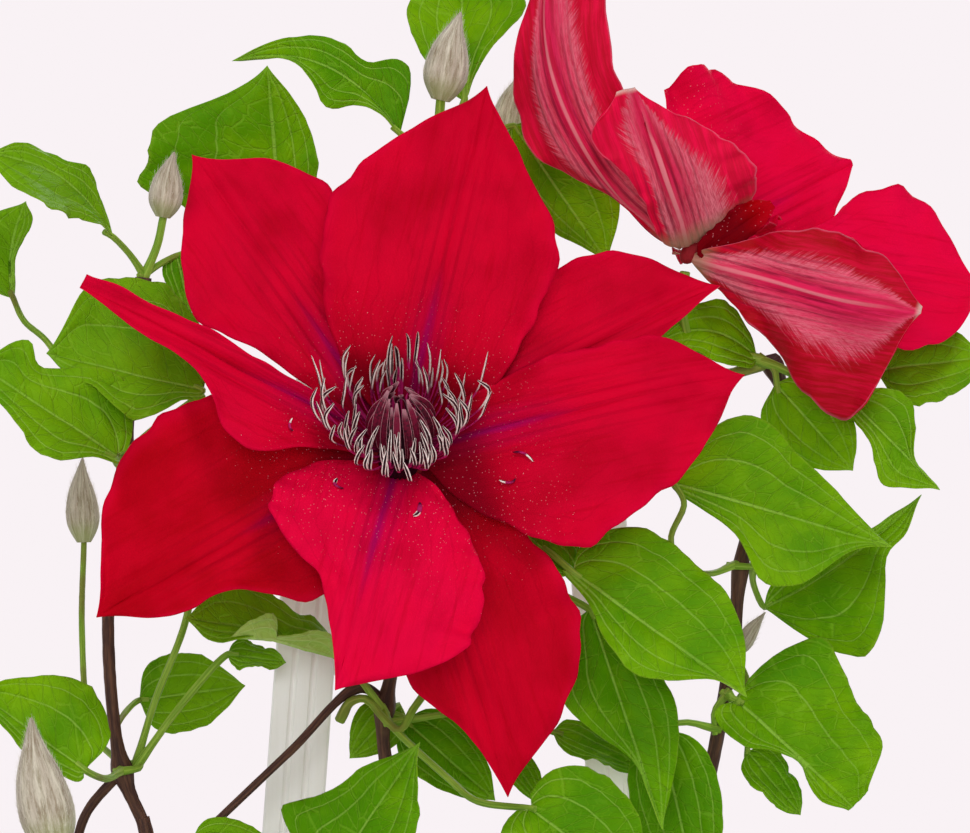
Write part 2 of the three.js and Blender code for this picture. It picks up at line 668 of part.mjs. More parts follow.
// Sprays: each is its stems (points, then the radius), its leaves, its small leaves and its buds.
// A blade is base, tip, the side its face looks to, and its half-widths or one greatest half-width.
const UP = [0, -0.6, 0.8];
const SPRAYS = {
  spray_upper_left: {
    stems: [
      [[-64.5, -5, 392.8], [-61.5, -5, 400], [-60.3, -5, 405.6], 0.9],
      [[-64.4, -5, 394], [-67, -9, 398], [-70.3, -15, 401.6], [-71, -15.6, 402], 0.7],
      [[-64.4, -5, 394], [-58, 4, 398], [-46, 18, 401], [-37, 23.7, 404], [-37, 23.8, 404.8], 0.7],
    ],
    leaves: [
      {
        base: [-70.3, -15, 401.6], tip: [-95, -30, 418],
        face: [0.2, -0.8, 0.8], arch: 3, bend: 3,
        left: [1, 5, 8, 13, 14, 9, 0], right: [1, 5.5, 6, 4.5, 5, 3.5, 0],
      },
      {
        base: [-37, 24, 404], tip: [-39.5, 17, 438], face: [0.1, -1, 0.3], arch: 2,
        left: [8, 17, 22, 30, 28, 27, 24, 8, 0], right: [3, 6.5, 8.5, 8.5, 7, 4, 0],
      },
    ],
    small: [
      { base: [-58, 4, 398.5], tip: [-55, 2, 386], half: 4 },
    ],
    buds: [[[-60.3, -5, 406.1], [-58.1, -5, 419.2], 3.4]],
  },
  spray_left: {
    stems: [
      [[-68.4, -8.4, 356], [-69, -20, 355], [-69.4, -30, 356.5], [-70.2, -30.6, 356.8], 0.8],
      [[-68.4, -8.9, 356.6], [-62, -17, 362], [-51.5, -22, 370], [-52.2, -22, 370.4], 0.7],
      [[-68.8, -9, 356], [-76, -4, 366], [-84.3, 0, 379.9], [-89, -6, 384.5], [-91, -11.4, 389.4], 0.7],
    ],
    leaves: [
      {
        base: [-68.8, -30, 356.7], tip: [-97, -36, 375.5], face: [-0.1, -0.9, 0.6], heart: 3,
        left: [1, 4, 9, 9, 6.5, 3.5, 0], right: [3, 13.5, 14, 10.5, 7.5, 9.5, 0],
      },
      {
        base: [-51.5, -22, 370], tip: [-83, -28, 377.5], face: [0, -0.9, 0.6], heart: 2,
        left: [2.5, 5, 10, 11.5, 7, 4, 0], right: [9, 16.5, 20, 21, 20, 16, 0],
      },
      {
        base: [-91, -11, 389], tip: [-88.5, -6, 409], face: [0, -1, 0.3], bend: -1.5,
        left: [3, 9, 12, 11, 7, 0], right: [0.5, 1, 1, 2, 3, 0],
      },
    ],
    buds: [],
  },
  spray_low_left: {
    stems: [
      [[-68.8, -13.4, 292], [-71, -24, 291], [-74.8, -35, 293.3], [-75.6, -35, 293.9], 0.8],
      [[-65.6, -8.4, 293.6], [-62, -5, 306], [-56, -4, 321.5], [-53, -4, 336], 0.8],
      [[-69, -6.4, 293.2], [-76, 10, 300], [-78.6, 24, 320], [-78.5, 30, 338.3], 0.7],
      [[-68.8, -13.4, 292], [-65, -11.4, 292.6], [-65.4, -8, 293.4], [-69, -6.4, 293.2], 0.7],
      [[-69, -6.4, 293.2], [-71, 8, 299], [-66.7, 30, 305], [-66, 30, 305], 0.7],
      [[-65.2, -9.4, 293.4], [-56, -8, 306], [-47, -6, 315.7], [-46, -6, 315.6], 0.8],
    ],
    leaves: [
      {
        base: [-74.8, -35, 293.3], tip: [-97, -36, 309.5], face: [0, -0.9, 0.5], heart: 2,
        left: [3, 5, 5, 4, 2, 0], right: [8, 13, 14, 12, 7, 0],
      },
      { base: [-66.7, 30, 305], tip: [-44.5, 30, 308], face: [0, -1, 0.3], half: 9 },
    ],
    small: [
      { base: [-53, -4, 335], tip: [-42, 2, 362], half: 10 },
      { base: [-47, -6, 315.7], tip: [-35, -5, 314], half: 4.5 },
    ],
    buds: [[[-78.5, 30, 338.7], [-78.9, 30, 356], 3.4]],
  },
  spray_low_middle: {
    stems: [
      [[-15, -10.4, 304.4], [-19.5, -13.4, 310.8], [-24.8, -10.4, 315.7], [-25.5, -10.2, 316], 0.8],
      [
        [-15, -10.4, 304.4], [-13.4, -12.8, 301.6], [-1.1, -20, 290.5],
        [4, -25, 286.7], [15.1, -34, 285.5], 0.8,
      ],
      [
        [-23.3, -11, 303.3], [-21.7, -12, 306], [-18.6, -12.5, 306.8], [-14.5, -13, 302.5],
        [-11.4, -14, 300.4], [-8.8, -13, 304.5], [-7, -12, 307], 0.9,
      ],
      [[-14, -2.6, 303.6], [-12, 1, 305], [-10.6, 2.4, 301.8], [-10, 2.4, 301.2], 0.7],
      [[-12.6, -11, 302], [5, -10, 304], [20, -12, 300], [20.8, -12, 299.8], 0.7],
      [[-14, -2.6, 303.6], [-10.6, -4, 302.6], [-10.6, -8.6, 302.4], [-13.6, -12.6, 301.8], 0.7],
    ],
    leaves: [
      {
        base: [-24.8, -10.4, 315.7], tip: [-55, -22, 323.5], face: [0, -0.8, 0.6], arch: 2,
        left: [1, 1.5, 1, 1.5, 4, 5, 0], right: [4, 7, 6, 9, 11.5, 9, 0],
      },
      { base: [15.1, -34, 285.5], tip: [38, -38, 268], face: [0, -0.9, 0.5], half: 15, heart: 4 },
    ],
    small: [
      { base: [-10.6, 2.4, 301.8], tip: [8.1, -1, 285.4], half: 7.5, face: [0, -1, 0.3] },
      { base: [-12, 1, 305], tip: [-22, 1, 294], half: 5.5, face: [0, -1, 0.3] },
      { base: [20, -12, 300], tip: [38, -8, 292], half: 5.5 },
      { base: [5, -10, 304], tip: [18, -13, 285], half: 5 },
    ],
    buds: [],
  },
  spray_low_front: {
    stems: [
      [[-11.4, -5.6, 272], [-17, -25, 266], [-25.2, -40, 271.4], [-25, -40.4, 272], 0.9],
    ],
    leaves: [
      {
        base: [-25.2, -40, 271.4], tip: [-7, -50, 299.6], face: [-0.1, -0.9, 0.5],
        left: [6, 16, 12.5, 9, 7, 3.5, 0], right: [6, 13, 14, 12.5, 9, 5, 0],
      },
    ],
    buds: [],
  },
  spray_low_side: {
    stems: [
      [[-52.6, -18.2, 278.3], [-54.4, -19.8, 276.4], 0.8],
    ],
    leaves: [],
    small: [
      { base: [-54, -19.4, 276.8], tip: [-36, -21, 276], half: 6.5, face: [0, -1, 0.3] },
      { base: [-54.2, -19.6, 276.6], tip: [-58, -30, 251], half: 8, face: [0, -1, 0.2] },
    ],
    buds: [],
  },
  spray_top: {
    stems: [
      [[-4, -6, 415.6], [-4, -7, 418], 1],
      [[-4, -7, 416.4], [-8, -12, 420], [-11.4, -15, 422.7], [-12, -15.2, 423.2], 0.7],
      [[-4, -7, 417], [-3.6, -14, 422], [-3, -18, 429.2], 1.1],
      [[-4, -6.6, 417], [-1, -4, 424], [1.8, -5, 429.9], [1.8, -4.6, 430.8], 0.8],
      [[-4, -6.6, 417], [4, 8, 416], [10, 14.8, 421.3], 0.9],
      [[-4, -6.6, 417], [5, 1, 422], [12, 6, 425], [12.6, 6, 424.2], 0.7],
    ],
    leaves: [
      {
        base: [-11.4, -15, 422.7], tip: [-45.4, -25, 437], face: [0, -1, 0.5], bend: 7.5,
        left: [1, 2, 4.5, 9.5, 5, 1, 0.5, 0], right: [13, 11.5, 5.5, 5.5, 6.2, 4.5, 2.5, 0],
      },
      {
        base: [1.8, -5, 429.9], tip: [1, 10, 458], face: [0, -1, 0.4],
        left: [2, 5.5, 8.5, 11, 11.5, 8, 0], right: [0.5, 2, 5.5, 10, 13.5, 10, 0],
      },
      {
        base: [12, 6, 425], tip: [31.5, 3, 396.5], face: [0, -1, 0.3],
        left: [3, 9.5, 11.5, 12, 10.5, 6.5, 0], right: [3, 7, 8.5, 8.5, 6, 3, 0],
      },
    ],
    buds: [[[-3, -18, 429.8], [0.9, -18, 447.3], 4.4], [[10.2, 15, 422.4], [13.7, 15, 436.6], 3.5]],
  },
  spray_middle_right: {
    stems: [
      [[-6.4, -9, 343], [6, -22, 345], [18, -37, 338], [23.5, -41, 333.5], [24.2, -41, 333], 0.9],
      [[-6.4, -9, 343], [10, -20, 334], [27.3, -30, 325.5], [27.6, -30, 324.8], 0.8],
    ],
    leaves: [
      {
        base: [23.5, -41, 333.5], tip: [58.5, -48, 308.5], face: [0, -0.9, 0.5], heart: 4,
        left: [6, 15, 17, 16, 14, 9.5, 0], right: [1, 3, 8.5, 11, 7.5, 1.5, 0],
      },
      {
        base: [27.3, -30, 325.5], tip: [42, -35, 281], face: [0, -1, 0.3],
        left: [3, 7, 9.5, 10.5, 8.5, 4.5, 0], right: [4, 8, 11.5, 7.5, 1.5, 0.5, 0],
      },
    ],
    small: [
      { base: [23.5, -39.5, 333], tip: [12, -36, 343], half: 7 },
    ],
    buds: [],
  },
  spray_right: {
    stems: [
      [
        [57, -6.6, 334], [52.5, -12, 332.5], [46, -20, 334],
        [43.8, -24, 340], [46.5, -24, 347], [44.6, -22, 351], 0.7,
      ],
      [[61.2, -1.8, 333.4], [61.6, 4, 330], [64.2, 10, 325], [64.8, 10, 325.3], 0.7],
      [[57, -6.6, 334], [60.6, -7.2, 333.8], [62, -4.4, 333.6], [61.2, -1.6, 333.4], 0.6],
    ],
    leaves: [
      {
        base: [44, -22, 351.2], tip: [89, -25, 338.2], face: [0, -1, 0.2], heart: 1,
        left: [3, 15.5, 17.5, 12.5, 8.5, 4, 0], right: [1, 3.5, 7, 15, 13, 3.5, 0],
      },
      {
        base: [64.2, 10, 325], tip: [96.5, 5, 348.5], face: [0, -1, 0.4], bend: 2,
        left: [1, 5, 6, 4, 2, 1.5, 0], right: [2, 15.5, 21, 15, 5, 4, 0],
      },
    ],
    buds: [],
  },
  spray_low_right: {
    stems: [
      [[55.6, -9, 307.5], [56.5, -10, 307], [58, -10.5, 306.3], 0.7],
      [[53.2, -9, 300.6], [47, -12, 302], [41.8, -15, 300.5], [41.9, -15, 299.8], 0.7],
      [[55.6, -9, 307.5], [53.2, -9.4, 304], [53.2, -9, 300.6], 0.7],
      [[56.5, -10, 307], [60, -8, 300], [60, -5, 295.4], 0.7],
      [[58, -10.5, 306.3], [60, -6, 310], [58, -1, 315.2], 0.6],
    ],
    leaves: [
      {
        base: [57.5, -10.3, 306.5], tip: [81, -20, 285], face: [0, -0.9, 0.5], heart: 3,
        left: [8, 21, 21, 19, 16.5, 15.5, 14, 7], right: [5.5, 7, 7, 3, 0.5, 3, 4.5, 2],
      },
      { base: [41.8, -15, 300.5], tip: [50, -18, 264], face: [0, -1, 0.3], half: 9.5 },
    ],
    small: [
      { base: [60, -5, 295.6], tip: [71, -5, 282.6], half: 6 },
    ],
    buds: [[[58, -0.9, 315.9], [63.9, 0, 324.3], 1.8]],
  },
  spray_upper_right: {
    stems: [
      [[62, -13.2, 375.3], [55, -14, 373.5], [48, -17, 380], [46, -21, 388], [46.6, -22, 392.9], 1.2],
      [[62, -13.6, 375.3], [63, -15, 376.4], [61, -15, 377], 0.8],
      [[63, -15, 376.4], [65.2, -15.8, 374.4], [65.8, -15.4, 370.8], 0.7],
      [
        [62.8, -15, 376], [65.6, -15.9, 375], [68.6, -13.6, 373.6],
        [73, -11, 371], [80.7, -15, 368], [81.3, -15, 367.4], 0.9,
      ],
      [[73, -11, 371], [80, -4, 370.6], [87, 2, 374.2], [87.8, 2.2, 374.4], 0.7],
    ],
    leaves: [
      { base: [61.6, -15, 376.8], tip: [40.7, -22, 379.3], face: [0, -1, 0.3], half: 6.5, bend: 4.5 },
      {
        base: [80.7, -15, 368], tip: [98.9, -18, 349.7], face: [0, -1, 0.3],
        left: [3, 7.5, 9, 6, 1, 0.5, 0], right: [2, 2.5, 3.5, 6, 8, 4.5, 0],
      },
    ],
    small: [
      { base: [65.5, -15.4, 371.3], tip: [81.5, -11, 353.6], face: [0, -1, 0.2], half: 9.5 },
      { base: [87, 2, 374.2], tip: [110, 8, 377], face: [0, -0.9, 0.5], half: 10.5 },
    ],
    buds: [],
  },
  spray_big_bud: {
    stems: [
      [[-61.3, -10.9, 268], [-72, -38, 262], [-79.2, -54, 270], [-79.7, -55, 277.9], 1.1],
    ],
    leaves: [],
    buds: [[[-79.7, -55, 278.2], [-84.7, -55, 304.6], 5.4]],
  },
};
let budCount = 0;
for (const [name, spray] of Object.entries(SPRAYS)) {
  const parts = [];
  for (const line of spray.stems) {
    parts.push(stem(line.slice(0, -1), line.at(-1), line.at(-1) > 0.8 ? 4 : 3));
  }
  for (const blade of spray.leaves) {
    parts.push(leaf({ face: UP, fold: 0.18, wave: 1, waves: 2, ...blade }));
  }
  for (const blade of spray.small ?? []) {
    parts.push(smallLeaf({ face: UP, fold: 0.18, wave: 0.8, waves: 1.5, ...blade }));
  }
  place(name, geometryOf(fuse(parts)), GREEN, 0.55);
  for (const [base, tip, radius] of spray.buds) {
    budCount += 1;
    place(`bud_${budCount}`, bud(base, tip, radius), SILVER, 0.7);
  }
}

export default group;
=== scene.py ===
# %% [markdown]
# # A large-flowered clematis on its ladder
#
# A clematis is a climber. Its brown, ribbed stems grow up a moulded white ladder, its thin
# leaf stalks twine round whatever they touch, and its blooms are rings of coloured sepals,
# called tepals, round a crown of dark stamens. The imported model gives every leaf, stem and
# bloom its place and outline as a plain solid. This lesson grows the living surface over it:
# waved and veined blades, ribbed stalks, silky hairs, bark, potting compost and moulded plastic.
# A cell that makes something prints what it made.

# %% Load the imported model
import json
import math

import bpy
import numpy as np
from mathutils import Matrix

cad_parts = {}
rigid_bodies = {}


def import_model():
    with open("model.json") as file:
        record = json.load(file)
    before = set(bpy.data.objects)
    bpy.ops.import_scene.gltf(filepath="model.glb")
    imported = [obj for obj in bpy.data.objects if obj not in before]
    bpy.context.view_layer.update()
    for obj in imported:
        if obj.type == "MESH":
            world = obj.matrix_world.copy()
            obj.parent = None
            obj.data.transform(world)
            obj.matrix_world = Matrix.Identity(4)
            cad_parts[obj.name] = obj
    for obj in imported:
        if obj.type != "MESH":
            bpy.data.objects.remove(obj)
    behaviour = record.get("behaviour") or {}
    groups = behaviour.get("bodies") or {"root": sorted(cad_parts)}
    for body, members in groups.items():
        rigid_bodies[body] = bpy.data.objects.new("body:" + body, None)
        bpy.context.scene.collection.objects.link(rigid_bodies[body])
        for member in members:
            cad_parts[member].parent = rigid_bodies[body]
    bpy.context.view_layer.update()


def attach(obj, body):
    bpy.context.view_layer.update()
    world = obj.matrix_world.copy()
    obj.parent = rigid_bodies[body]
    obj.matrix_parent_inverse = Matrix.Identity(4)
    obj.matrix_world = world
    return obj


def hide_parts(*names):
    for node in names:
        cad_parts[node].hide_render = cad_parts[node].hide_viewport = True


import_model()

# %% [markdown]
# ## Small tools for shape
#
# A plant is a few forms said over and over, so the shapes are formulas and the differences
# are small seeded draws. Sizes are written in millimetres and become metres when a mesh is made.
# A list of half-widths becomes a smooth outline, and a list of points becomes a smooth line.

# %% Seeded draws and smooth lines
MM = 0.001


def draws(seed):
    """Gives numbers from 0 to 1 that are the same each time."""
    state = seed

    def draw():
        nonlocal state
        state = (state * 1664525 + 1013904223) % 4294967296
        return state / 4294967296

    return draw


def unit(a):
    a = np.asarray(a, float)
    return a / np.linalg.norm(a)


def eased(a, b, leave, arrive, f):
    """The share f of the way from a to b, with the slopes it leaves and arrives by."""
    return a + f * (leave + f * (3 * (b - a) - 2 * leave - arrive + f * (leave + arrive - 2 * (b - a))))


def through(widths, share):
    """Smooth values through a list spread evenly over 0 to 1."""
    w = np.asarray(widths, float)
    last = len(w) - 1
    along = np.clip(share, 0, 1) * last
    i = np.minimum(along.astype(int), last - 1)
    w = np.concatenate([[2 * w[0] - w[1]], w, [2 * w[-1] - w[-2]]])
    return eased(w[i + 1], w[i + 2], (w[i + 2] - w[i]) / 2, (w[i + 3] - w[i + 1]) / 2, along - i)


def smooth_line(points, share):
    """A point of the smooth line through points, with no loops or overshoots."""
    p = np.asarray(points, float)
    last = len(p) - 1
    i = min(int(share * last), last - 1)
    f = share * last - i
    p = np.vstack([2 * p[0] - p[1], p, 2 * p[-1] - p[-2]])
    a, b, c, d = p[i], p[i + 1], p[i + 2], p[i + 3]
    s0, s1, s2 = (max(np.linalg.norm(q - r), 1e-6) ** 0.5 for q, r in ((b, a), (c, b), (d, c)))
    leave = s1 * ((b - a) / s0 - (c - a) / (s0 + s1) + (c - b) / s1)
    arrive = s1 * ((c - b) / s1 - (d - b) / (s1 + s2) + (d - c) / s2)
    return eased(b, c, leave, arrive, f)


def line_points(points, step):
    """Close points, about step millimetres apart, along the smooth line through points."""
    length = np.linalg.norm(np.diff(np.asarray(points, float), axis=0), axis=1).sum()
    count = max(5, int(length / step))
    return [smooth_line(points, k / count) for k in range(count + 1)]


# %% [markdown]
# ## Camera and floor
#
# The camera stands level with the big bloom and well back, as a portrait lens would, so that
# near and far leaves keep their sizes. The floor is a pale disc under the pot.

# %% Set the camera
CAMERA_PLACE = (6, -1550, 364.7)
SENSOR_WIDTH = 36
SEEN_WIDTH, SEEN_FROM = 194, 1500

scene = bpy.context.scene
camera = bpy.data.objects.new("portrait_camera", bpy.data.cameras.new("portrait_camera"))
scene.collection.objects.link(camera)
camera.location = [c * MM for c in CAMERA_PLACE]
camera.rotation_euler = (math.radians(90), 0, 0)
camera.data.sensor_width = SENSOR_WIDTH
camera.data.lens = SENSOR_WIDTH * SEEN_FROM / SEEN_WIDTH
camera.data.clip_end = 20
scene.camera = camera
scene.view_settings.view_transform = "Standard"
print("lens", round(camera.data.lens, 1), "mm")

# %% Lay the floor
FLOOR_RADIUS, FLOOR_SIDES = 1.3, 96


def linked(name, data):
    """A new object in the scene that shows some data."""
    piece = bpy.data.objects.new(name, data)
    scene.collection.objects.link(piece)
    return piece


def plain_mesh(name, points, faces):
    """A mesh object from points in metres."""
    mesh = bpy.data.meshes.new(name)
    mesh.from_pydata([tuple(p) for p in points], [], [tuple(f) for f in faces])
    mesh.update()
    return linked(name, mesh)


ring = [2 * math.pi * k / FLOOR_SIDES for k in range(FLOOR_SIDES)]
disc = [(FLOOR_RADIUS * math.cos(a), FLOOR_RADIUS * math.sin(a), -0.0005) for a in ring]
floor = plain_mesh("floor", disc, [range(FLOOR_SIDES)])

# %% [markdown]
# ## Writing finishes as sums
#
# A finish is a tree of nodes, but it reads best as arithmetic: vein = line * 0.8 + net.
# Term wraps one socket, and Python's operators on it add the Math nodes. Maker.add makes any
# other node from its type, its settings and its inputs. The same two classes also build the
# Geometry Nodes trees further down, because both kinds of tree are sockets and links. A colour
# is written as three screen values from 0 to 255, and a finish is painted in layers, each with
# its share and its colour.


# %% Terms and makers
class Term:
    """One socket's value, which Python's operators can work on."""

    def __init__(self, maker, socket):
        self.maker = maker
        self.socket = socket

    def __getitem__(self, name):
        return Term(self.maker, self.socket.node.outputs[name])

    def maths(self, operation, *others):
        return self.maker.maths(operation, self, *others)

    def __add__(self, other):
        return self.maths("ADD", other)

    __radd__ = __add__

    def __mul__(self, other):
        return self.maths("MULTIPLY", other)

    def __sub__(self, other):
        return self.maths("SUBTRACT", other)

    def __rsub__(self, other):
        return self.maker.maths("SUBTRACT", other, self)

    def __abs__(self):
        return self.maths("ABSOLUTE")

    def above(self, other):
        return self.maths("MAXIMUM", other)


def linear(colour):
    """Screen values made linear; a Term, or a colour that is linear already, stays."""
    if isinstance(colour, Term) or len(colour) == 4:
        return colour
    parts = [c / 255 for c in colour]
    return tuple(c / 12.92 if c <= 0.04045 else ((c + 0.055) / 1.055) ** 2.4 for c in parts) + (1,)


class Maker:
    """Adds nodes to a tree."""

    def __init__(self, tree):
        self.tree = tree

    def add(self, kind, settings=None, inputs=(), out=0):
        node = self.tree.nodes.new(kind)
        for key, value in (settings or {}).items():
            setattr(node, key, value)
        for key, value in inputs.items() if isinstance(inputs, dict) else enumerate(inputs):
            if isinstance(value, Term):
                self.tree.links.new(value.socket, node.inputs[key])
            else:
                node.inputs[key].default_value = value
        return Term(self, node.outputs[out])

    def maths(self, operation, *inputs):
        return self.add("ShaderNodeMath", {"operation": operation}, inputs)

    def vectors(self, operation, *inputs):
        return self.add("ShaderNodeVectorMath", {"operation": operation}, inputs)

    def scaled(self, vector, factor):
        return self.add("ShaderNodeVectorMath", {"operation": "SCALE"}, {0: vector, "Scale": factor})

    def join(self, x, y, z):
        return self.add("ShaderNodeCombineXYZ", {}, [x, y, z])

    def split(self, vector):
        return self.add("ShaderNodeSeparateXYZ", {}, [vector])

    def rise(self, value, low, high, top=1):
        """0 below low, top above high and smooth between; with low above high it falls."""
        settings = {"interpolation_type": "SMOOTHSTEP"}
        return self.add("ShaderNodeMapRange", settings, [value, low, high, 0, top])

    def blend(self, share, first, second):
        """A mix of two colours."""
        inputs = {0: share, 6: linear(first), 7: linear(second)}
        return self.add("ShaderNodeMix", {"data_type": "RGBA"}, inputs, out=2)

    def paint(self, colour, *layers):
        """A colour with layers laid over it one by one, each a share and a colour."""
        for share, over in layers:
            colour = self.blend(share, colour, over)
        return colour


class Finish(Maker):
    """A material whose colour, roughness and relief are Terms."""

    def __init__(self, name, **constants):
        self.material = bpy.data.materials.new(name)
        self.material.use_nodes = True
        super().__init__(self.material.node_tree)
        self.tree.nodes.clear()
        self.shader = self.tree.nodes.new("ShaderNodeBsdfPrincipled")
        output = self.tree.nodes.new("ShaderNodeOutputMaterial")
        self.tree.links.new(self.shader.outputs["BSDF"], output.inputs["Surface"])
        for key, value in constants.items():
            self.shader.inputs[key.replace("_", " ")].default_value = value
        self.place = self.add("ShaderNodeTexCoord", out="Object")

    def read(self, *names):
        """Numbers that the piece carries at each of its points."""
        return [self.add("ShaderNodeAttribute", {"attribute_name": name}, out="Fac") for name in names]

    def noise(self, scale, detail=3, roughness=0.5, where=None):
        inputs = {"Vector": where or self.place, "Scale": scale, "Detail": detail, "Roughness": roughness}
        return self.add("ShaderNodeTexNoise", {}, inputs)

    def grain(self, detail, roughness, x, y, z):
        """Noise in a space of its own, so that it can run along a blade or a line."""
        return self.noise(1.0, detail, roughness, self.join(x, y, z))

    def cells(self, scale, feature="F1", where=None):
        inputs = {"Vector": where or self.place, "Scale": scale}
        return self.add("ShaderNodeTexVoronoi", {"feature": feature}, inputs, out="Distance")

    def line(self, distance, width):
        """1 on a line, 0 further than width from it."""
        return self.rise(distance, width, width * 0.3)

    def show(self, colour, roughness, height, depth):
        """Feeds the shader; depth is the relief of a height of 1, in millimetres."""
        inputs = {"Strength": 1.0, "Distance": depth * MM, "Height": height}
        bump = self.add("ShaderNodeBump", {}, inputs)
        for name, term in (("Base Color", colour), ("Roughness", roughness), ("Normal", bump)):
            if isinstance(term, Term):
                self.tree.links.new(term.socket, self.shader.inputs[name])
            else:
                self.shader.inputs[name].default_value = term
        return self.material


finish = Finish("pale_floor")
pale = finish.blend(finish.noise(6), (236, 232, 232), (242, 239, 239))
floor.data.materials.append(finish.show(pale, 0.8, finish.noise(900), 0.1))
print("floor finish", len(finish.tree.nodes), "nodes")

# %% [markdown]
# ## The room's light
#
# The world is a sky that only the script knows: its brightness depends on the direction
# looked in, through the same kind of sum as the finishes above. At eye height behind the plant it
# is the pale wall. Towards the ceiling, the floor and the dim front of the room it is darker,
# because the lamps do that work: lamps cast shadows, and shadows are what tell one layer of
# tepals from the next. A soft lamp stands in front and above on the right and another beside the
# camera, with a weaker one on the left and one behind.

# %% Light the room
WALL_TINT = (0.947, 0.887, 0.913, 1)
CEILING_TINT = (0.36, 0.34, 0.35, 1)
LAMPS = {
    "key_lamp": dict(place=(0.35, -1.0, 1.35), aim=0.36, size=0.4, watts=5.5),
    "front_lamp": dict(place=(-0.1, -1.6, 0.62), aim=0.34, size=0.5, watts=6.5),
    "side_lamp": dict(place=(-1.1, -0.9, 0.8), aim=0.36, size=0.6, watts=1),
    "rim_lamp": dict(place=(0.4, 1.3, 1.2), aim=0.36, size=0.7, watts=8),
}

world = bpy.data.worlds.new("pale_room")
scene.world = world
world.use_nodes = True
sky = Maker(world.node_tree)
look = sky.split(sky.add("ShaderNodeTexCoord", out="Generated"))
away = sky.rise(abs(look["Z"]), 0.12, 0.55)
near = sky.rise(look["Y"], 0.2, -0.5, 0.7)
wall = sky.blend(away.above(near), WALL_TINT, CEILING_TINT)
sky.tree.links.new(wall.socket, sky.tree.nodes["Background"].inputs["Color"])


def soft_lamp(name, place, aim, size, watts):
    """A round lamp that looks at the plant's axis at the height of its aim."""
    lamp = bpy.data.lights.new(name, "AREA")
    lamp.shape = "DISK"
    lamp.size = size
    lamp.energy = watts
    z = unit(np.subtract(place, (0, 0, aim)))
    x = unit(np.cross((0, 0, 1), z))
    turned = np.eye(4)
    turned[:3] = np.column_stack([x, np.cross(z, x), z, place])
    linked(name, lamp).matrix_world = turned.T.tolist()


for name, values in LAMPS.items():
    soft_lamp(name, **values)

# %% [markdown]
# ## Blades
#
# A leaf and a tepal are the same thing to a modeller: a thin sheet with a midrib, a left and a
# right margin, and a side that faces the light. One formula gives the point of a blade at a
# share u from base to tip and a share v from margin to margin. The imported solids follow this
# formula on a few rows; here it runs over a close grid, with four things that the solids leave
# out: a rounded base, a drawn-out tip, a fine frill along the margin, and veins pressed into it.
# A blade's numbers are its base and tip, the side its face looks to, and its half-widths from
# base to tip, with ways of its own: fold, arch, bend, twist, cup, wave, frill and swell.


# %% The blade's surface
TURN = 6.2832
TWIST_START = 0.3
TIP_LENGTH = 0.08
LEAST_HALF = 0.45


def blade(base, tip, left=None, right=None, **ways):
    """A blade's ends, its half-widths on the left and right, and its ways."""
    if left:
        ways.update(left=left, right=right)
    return dict(base=base, tip=tip, **ways)


def egg_shape(u):
    """Half-width of an egg-shaped leaf over its greatest half-width."""
    return 2.49 * np.sqrt(u) * (1 - u) ** 0.9


def half_widths(numbers, u, v, up, phases):
    """Half-widths with a rounded base, a drawn-out tip and small notches in the margin."""
    take = numbers.get
    if "left" in numbers:
        half = np.where(v < 0, through(numbers["left"], u), through(numbers["right"], u))
    else:
        half = numbers["half"] * egg_shape(up)
    start = np.clip(up / take("round", 0.07), 0, 1)
    rounding = np.sqrt(start * (2 - start))
    half = np.maximum(half * rounding, LEAST_HALF * np.clip((1 - u) / 0.04, 0.2, 1))
    half = half * (1 - take("beak", 0.35) * np.exp(-(((1 - u) / TIP_LENGTH) ** 2)))
    side = np.sign(v)
    notches = np.sin(41 * u + phases[0] + side) + 0.7 * np.sin(67 * u + phases[1] * side)
    return half * (1 + take("notch", 0.0) * notches), rounding


def blade_surface(numbers, u, v):
    """Points of the middle of a blade, and the half-width, at arrays u and v."""
    take = numbers.get
    base = np.asarray(numbers["base"], float)
    axis = np.asarray(numbers["tip"], float) - base
    length = np.linalg.norm(axis)
    a = axis / length
    face = np.asarray(take("face", (0, -0.6, 0.8)), float)
    n = unit(face - a * face.dot(a))
    b = np.cross(a, n)
    stalk = take("stalk", 0)
    up = np.clip((u - stalk) / (1 - stalk), 0, 1)
    draw = draws(int(abs(base[0] * 31 + axis[2] * 17)) + 3)
    p1, p2, p3, p4 = phases = [TURN * draw() for _ in range(4)]
    half, rounding = half_widths(numbers, u, v, up, phases)
    side = np.sign(v)
    hump = 4 * u * (1 - u)
    cycle = take("waves", 2) * u + np.where(v > 0, 0.5, 0) + take("phase", 0)
    fold = take("fold", 0.2)
    across = v * half * math.cos(fold)
    lift = (
        np.abs(v) * half * math.sin(fold)
        + (up > 0) * take("wave", 1) * v * v * np.sin(2 * math.pi * cycle)
        - take("cup", 0) * v * v * hump
    )
    frill = np.sin(23 * u + p3 + 2 * side) + 0.8 * np.sin(37 * u + p4 - side) + 0.5 * np.sin(59 * u + p1)
    lift += take("frill", 0) * v**4 * frill * np.minimum(half / 8, 1) * np.clip(up * 6, 0, 1)
    swell = np.sin(6.5 * u + p2 + 2.2 * v) * np.sin(4.1 * v + p3 + 3 * u)
    lift += take("swell", 0) * swell * np.minimum(half / 12, 1) * np.clip(up * 5, 0, 1)
    along = length * u - take("heart", 0) * v * v * (1 - up) ** 4 * rounding
    turn = take("twist", 0) * (u - TWIST_START)
    bx = across * np.cos(turn) - lift * np.sin(turn) + take("bend", 0) * hump
    nx = across * np.sin(turn) + lift * np.cos(turn) + take("arch", 0) * hump
    outer = np.multiply.outer
    return base + outer(along, a) + outer(bx, b) + outer(nx, n), half


# %% [markdown]
# The relief of a skin is a sum of grooves. A column of the grid lies on each main vein, so that
# the groove keeps its bottom. The two skins stand a fraction of a millimetre apart and meet in a
# narrow rim, so each blade is a closed body. Every point carries its own u, v and width, because
# veins are painted along the blade.

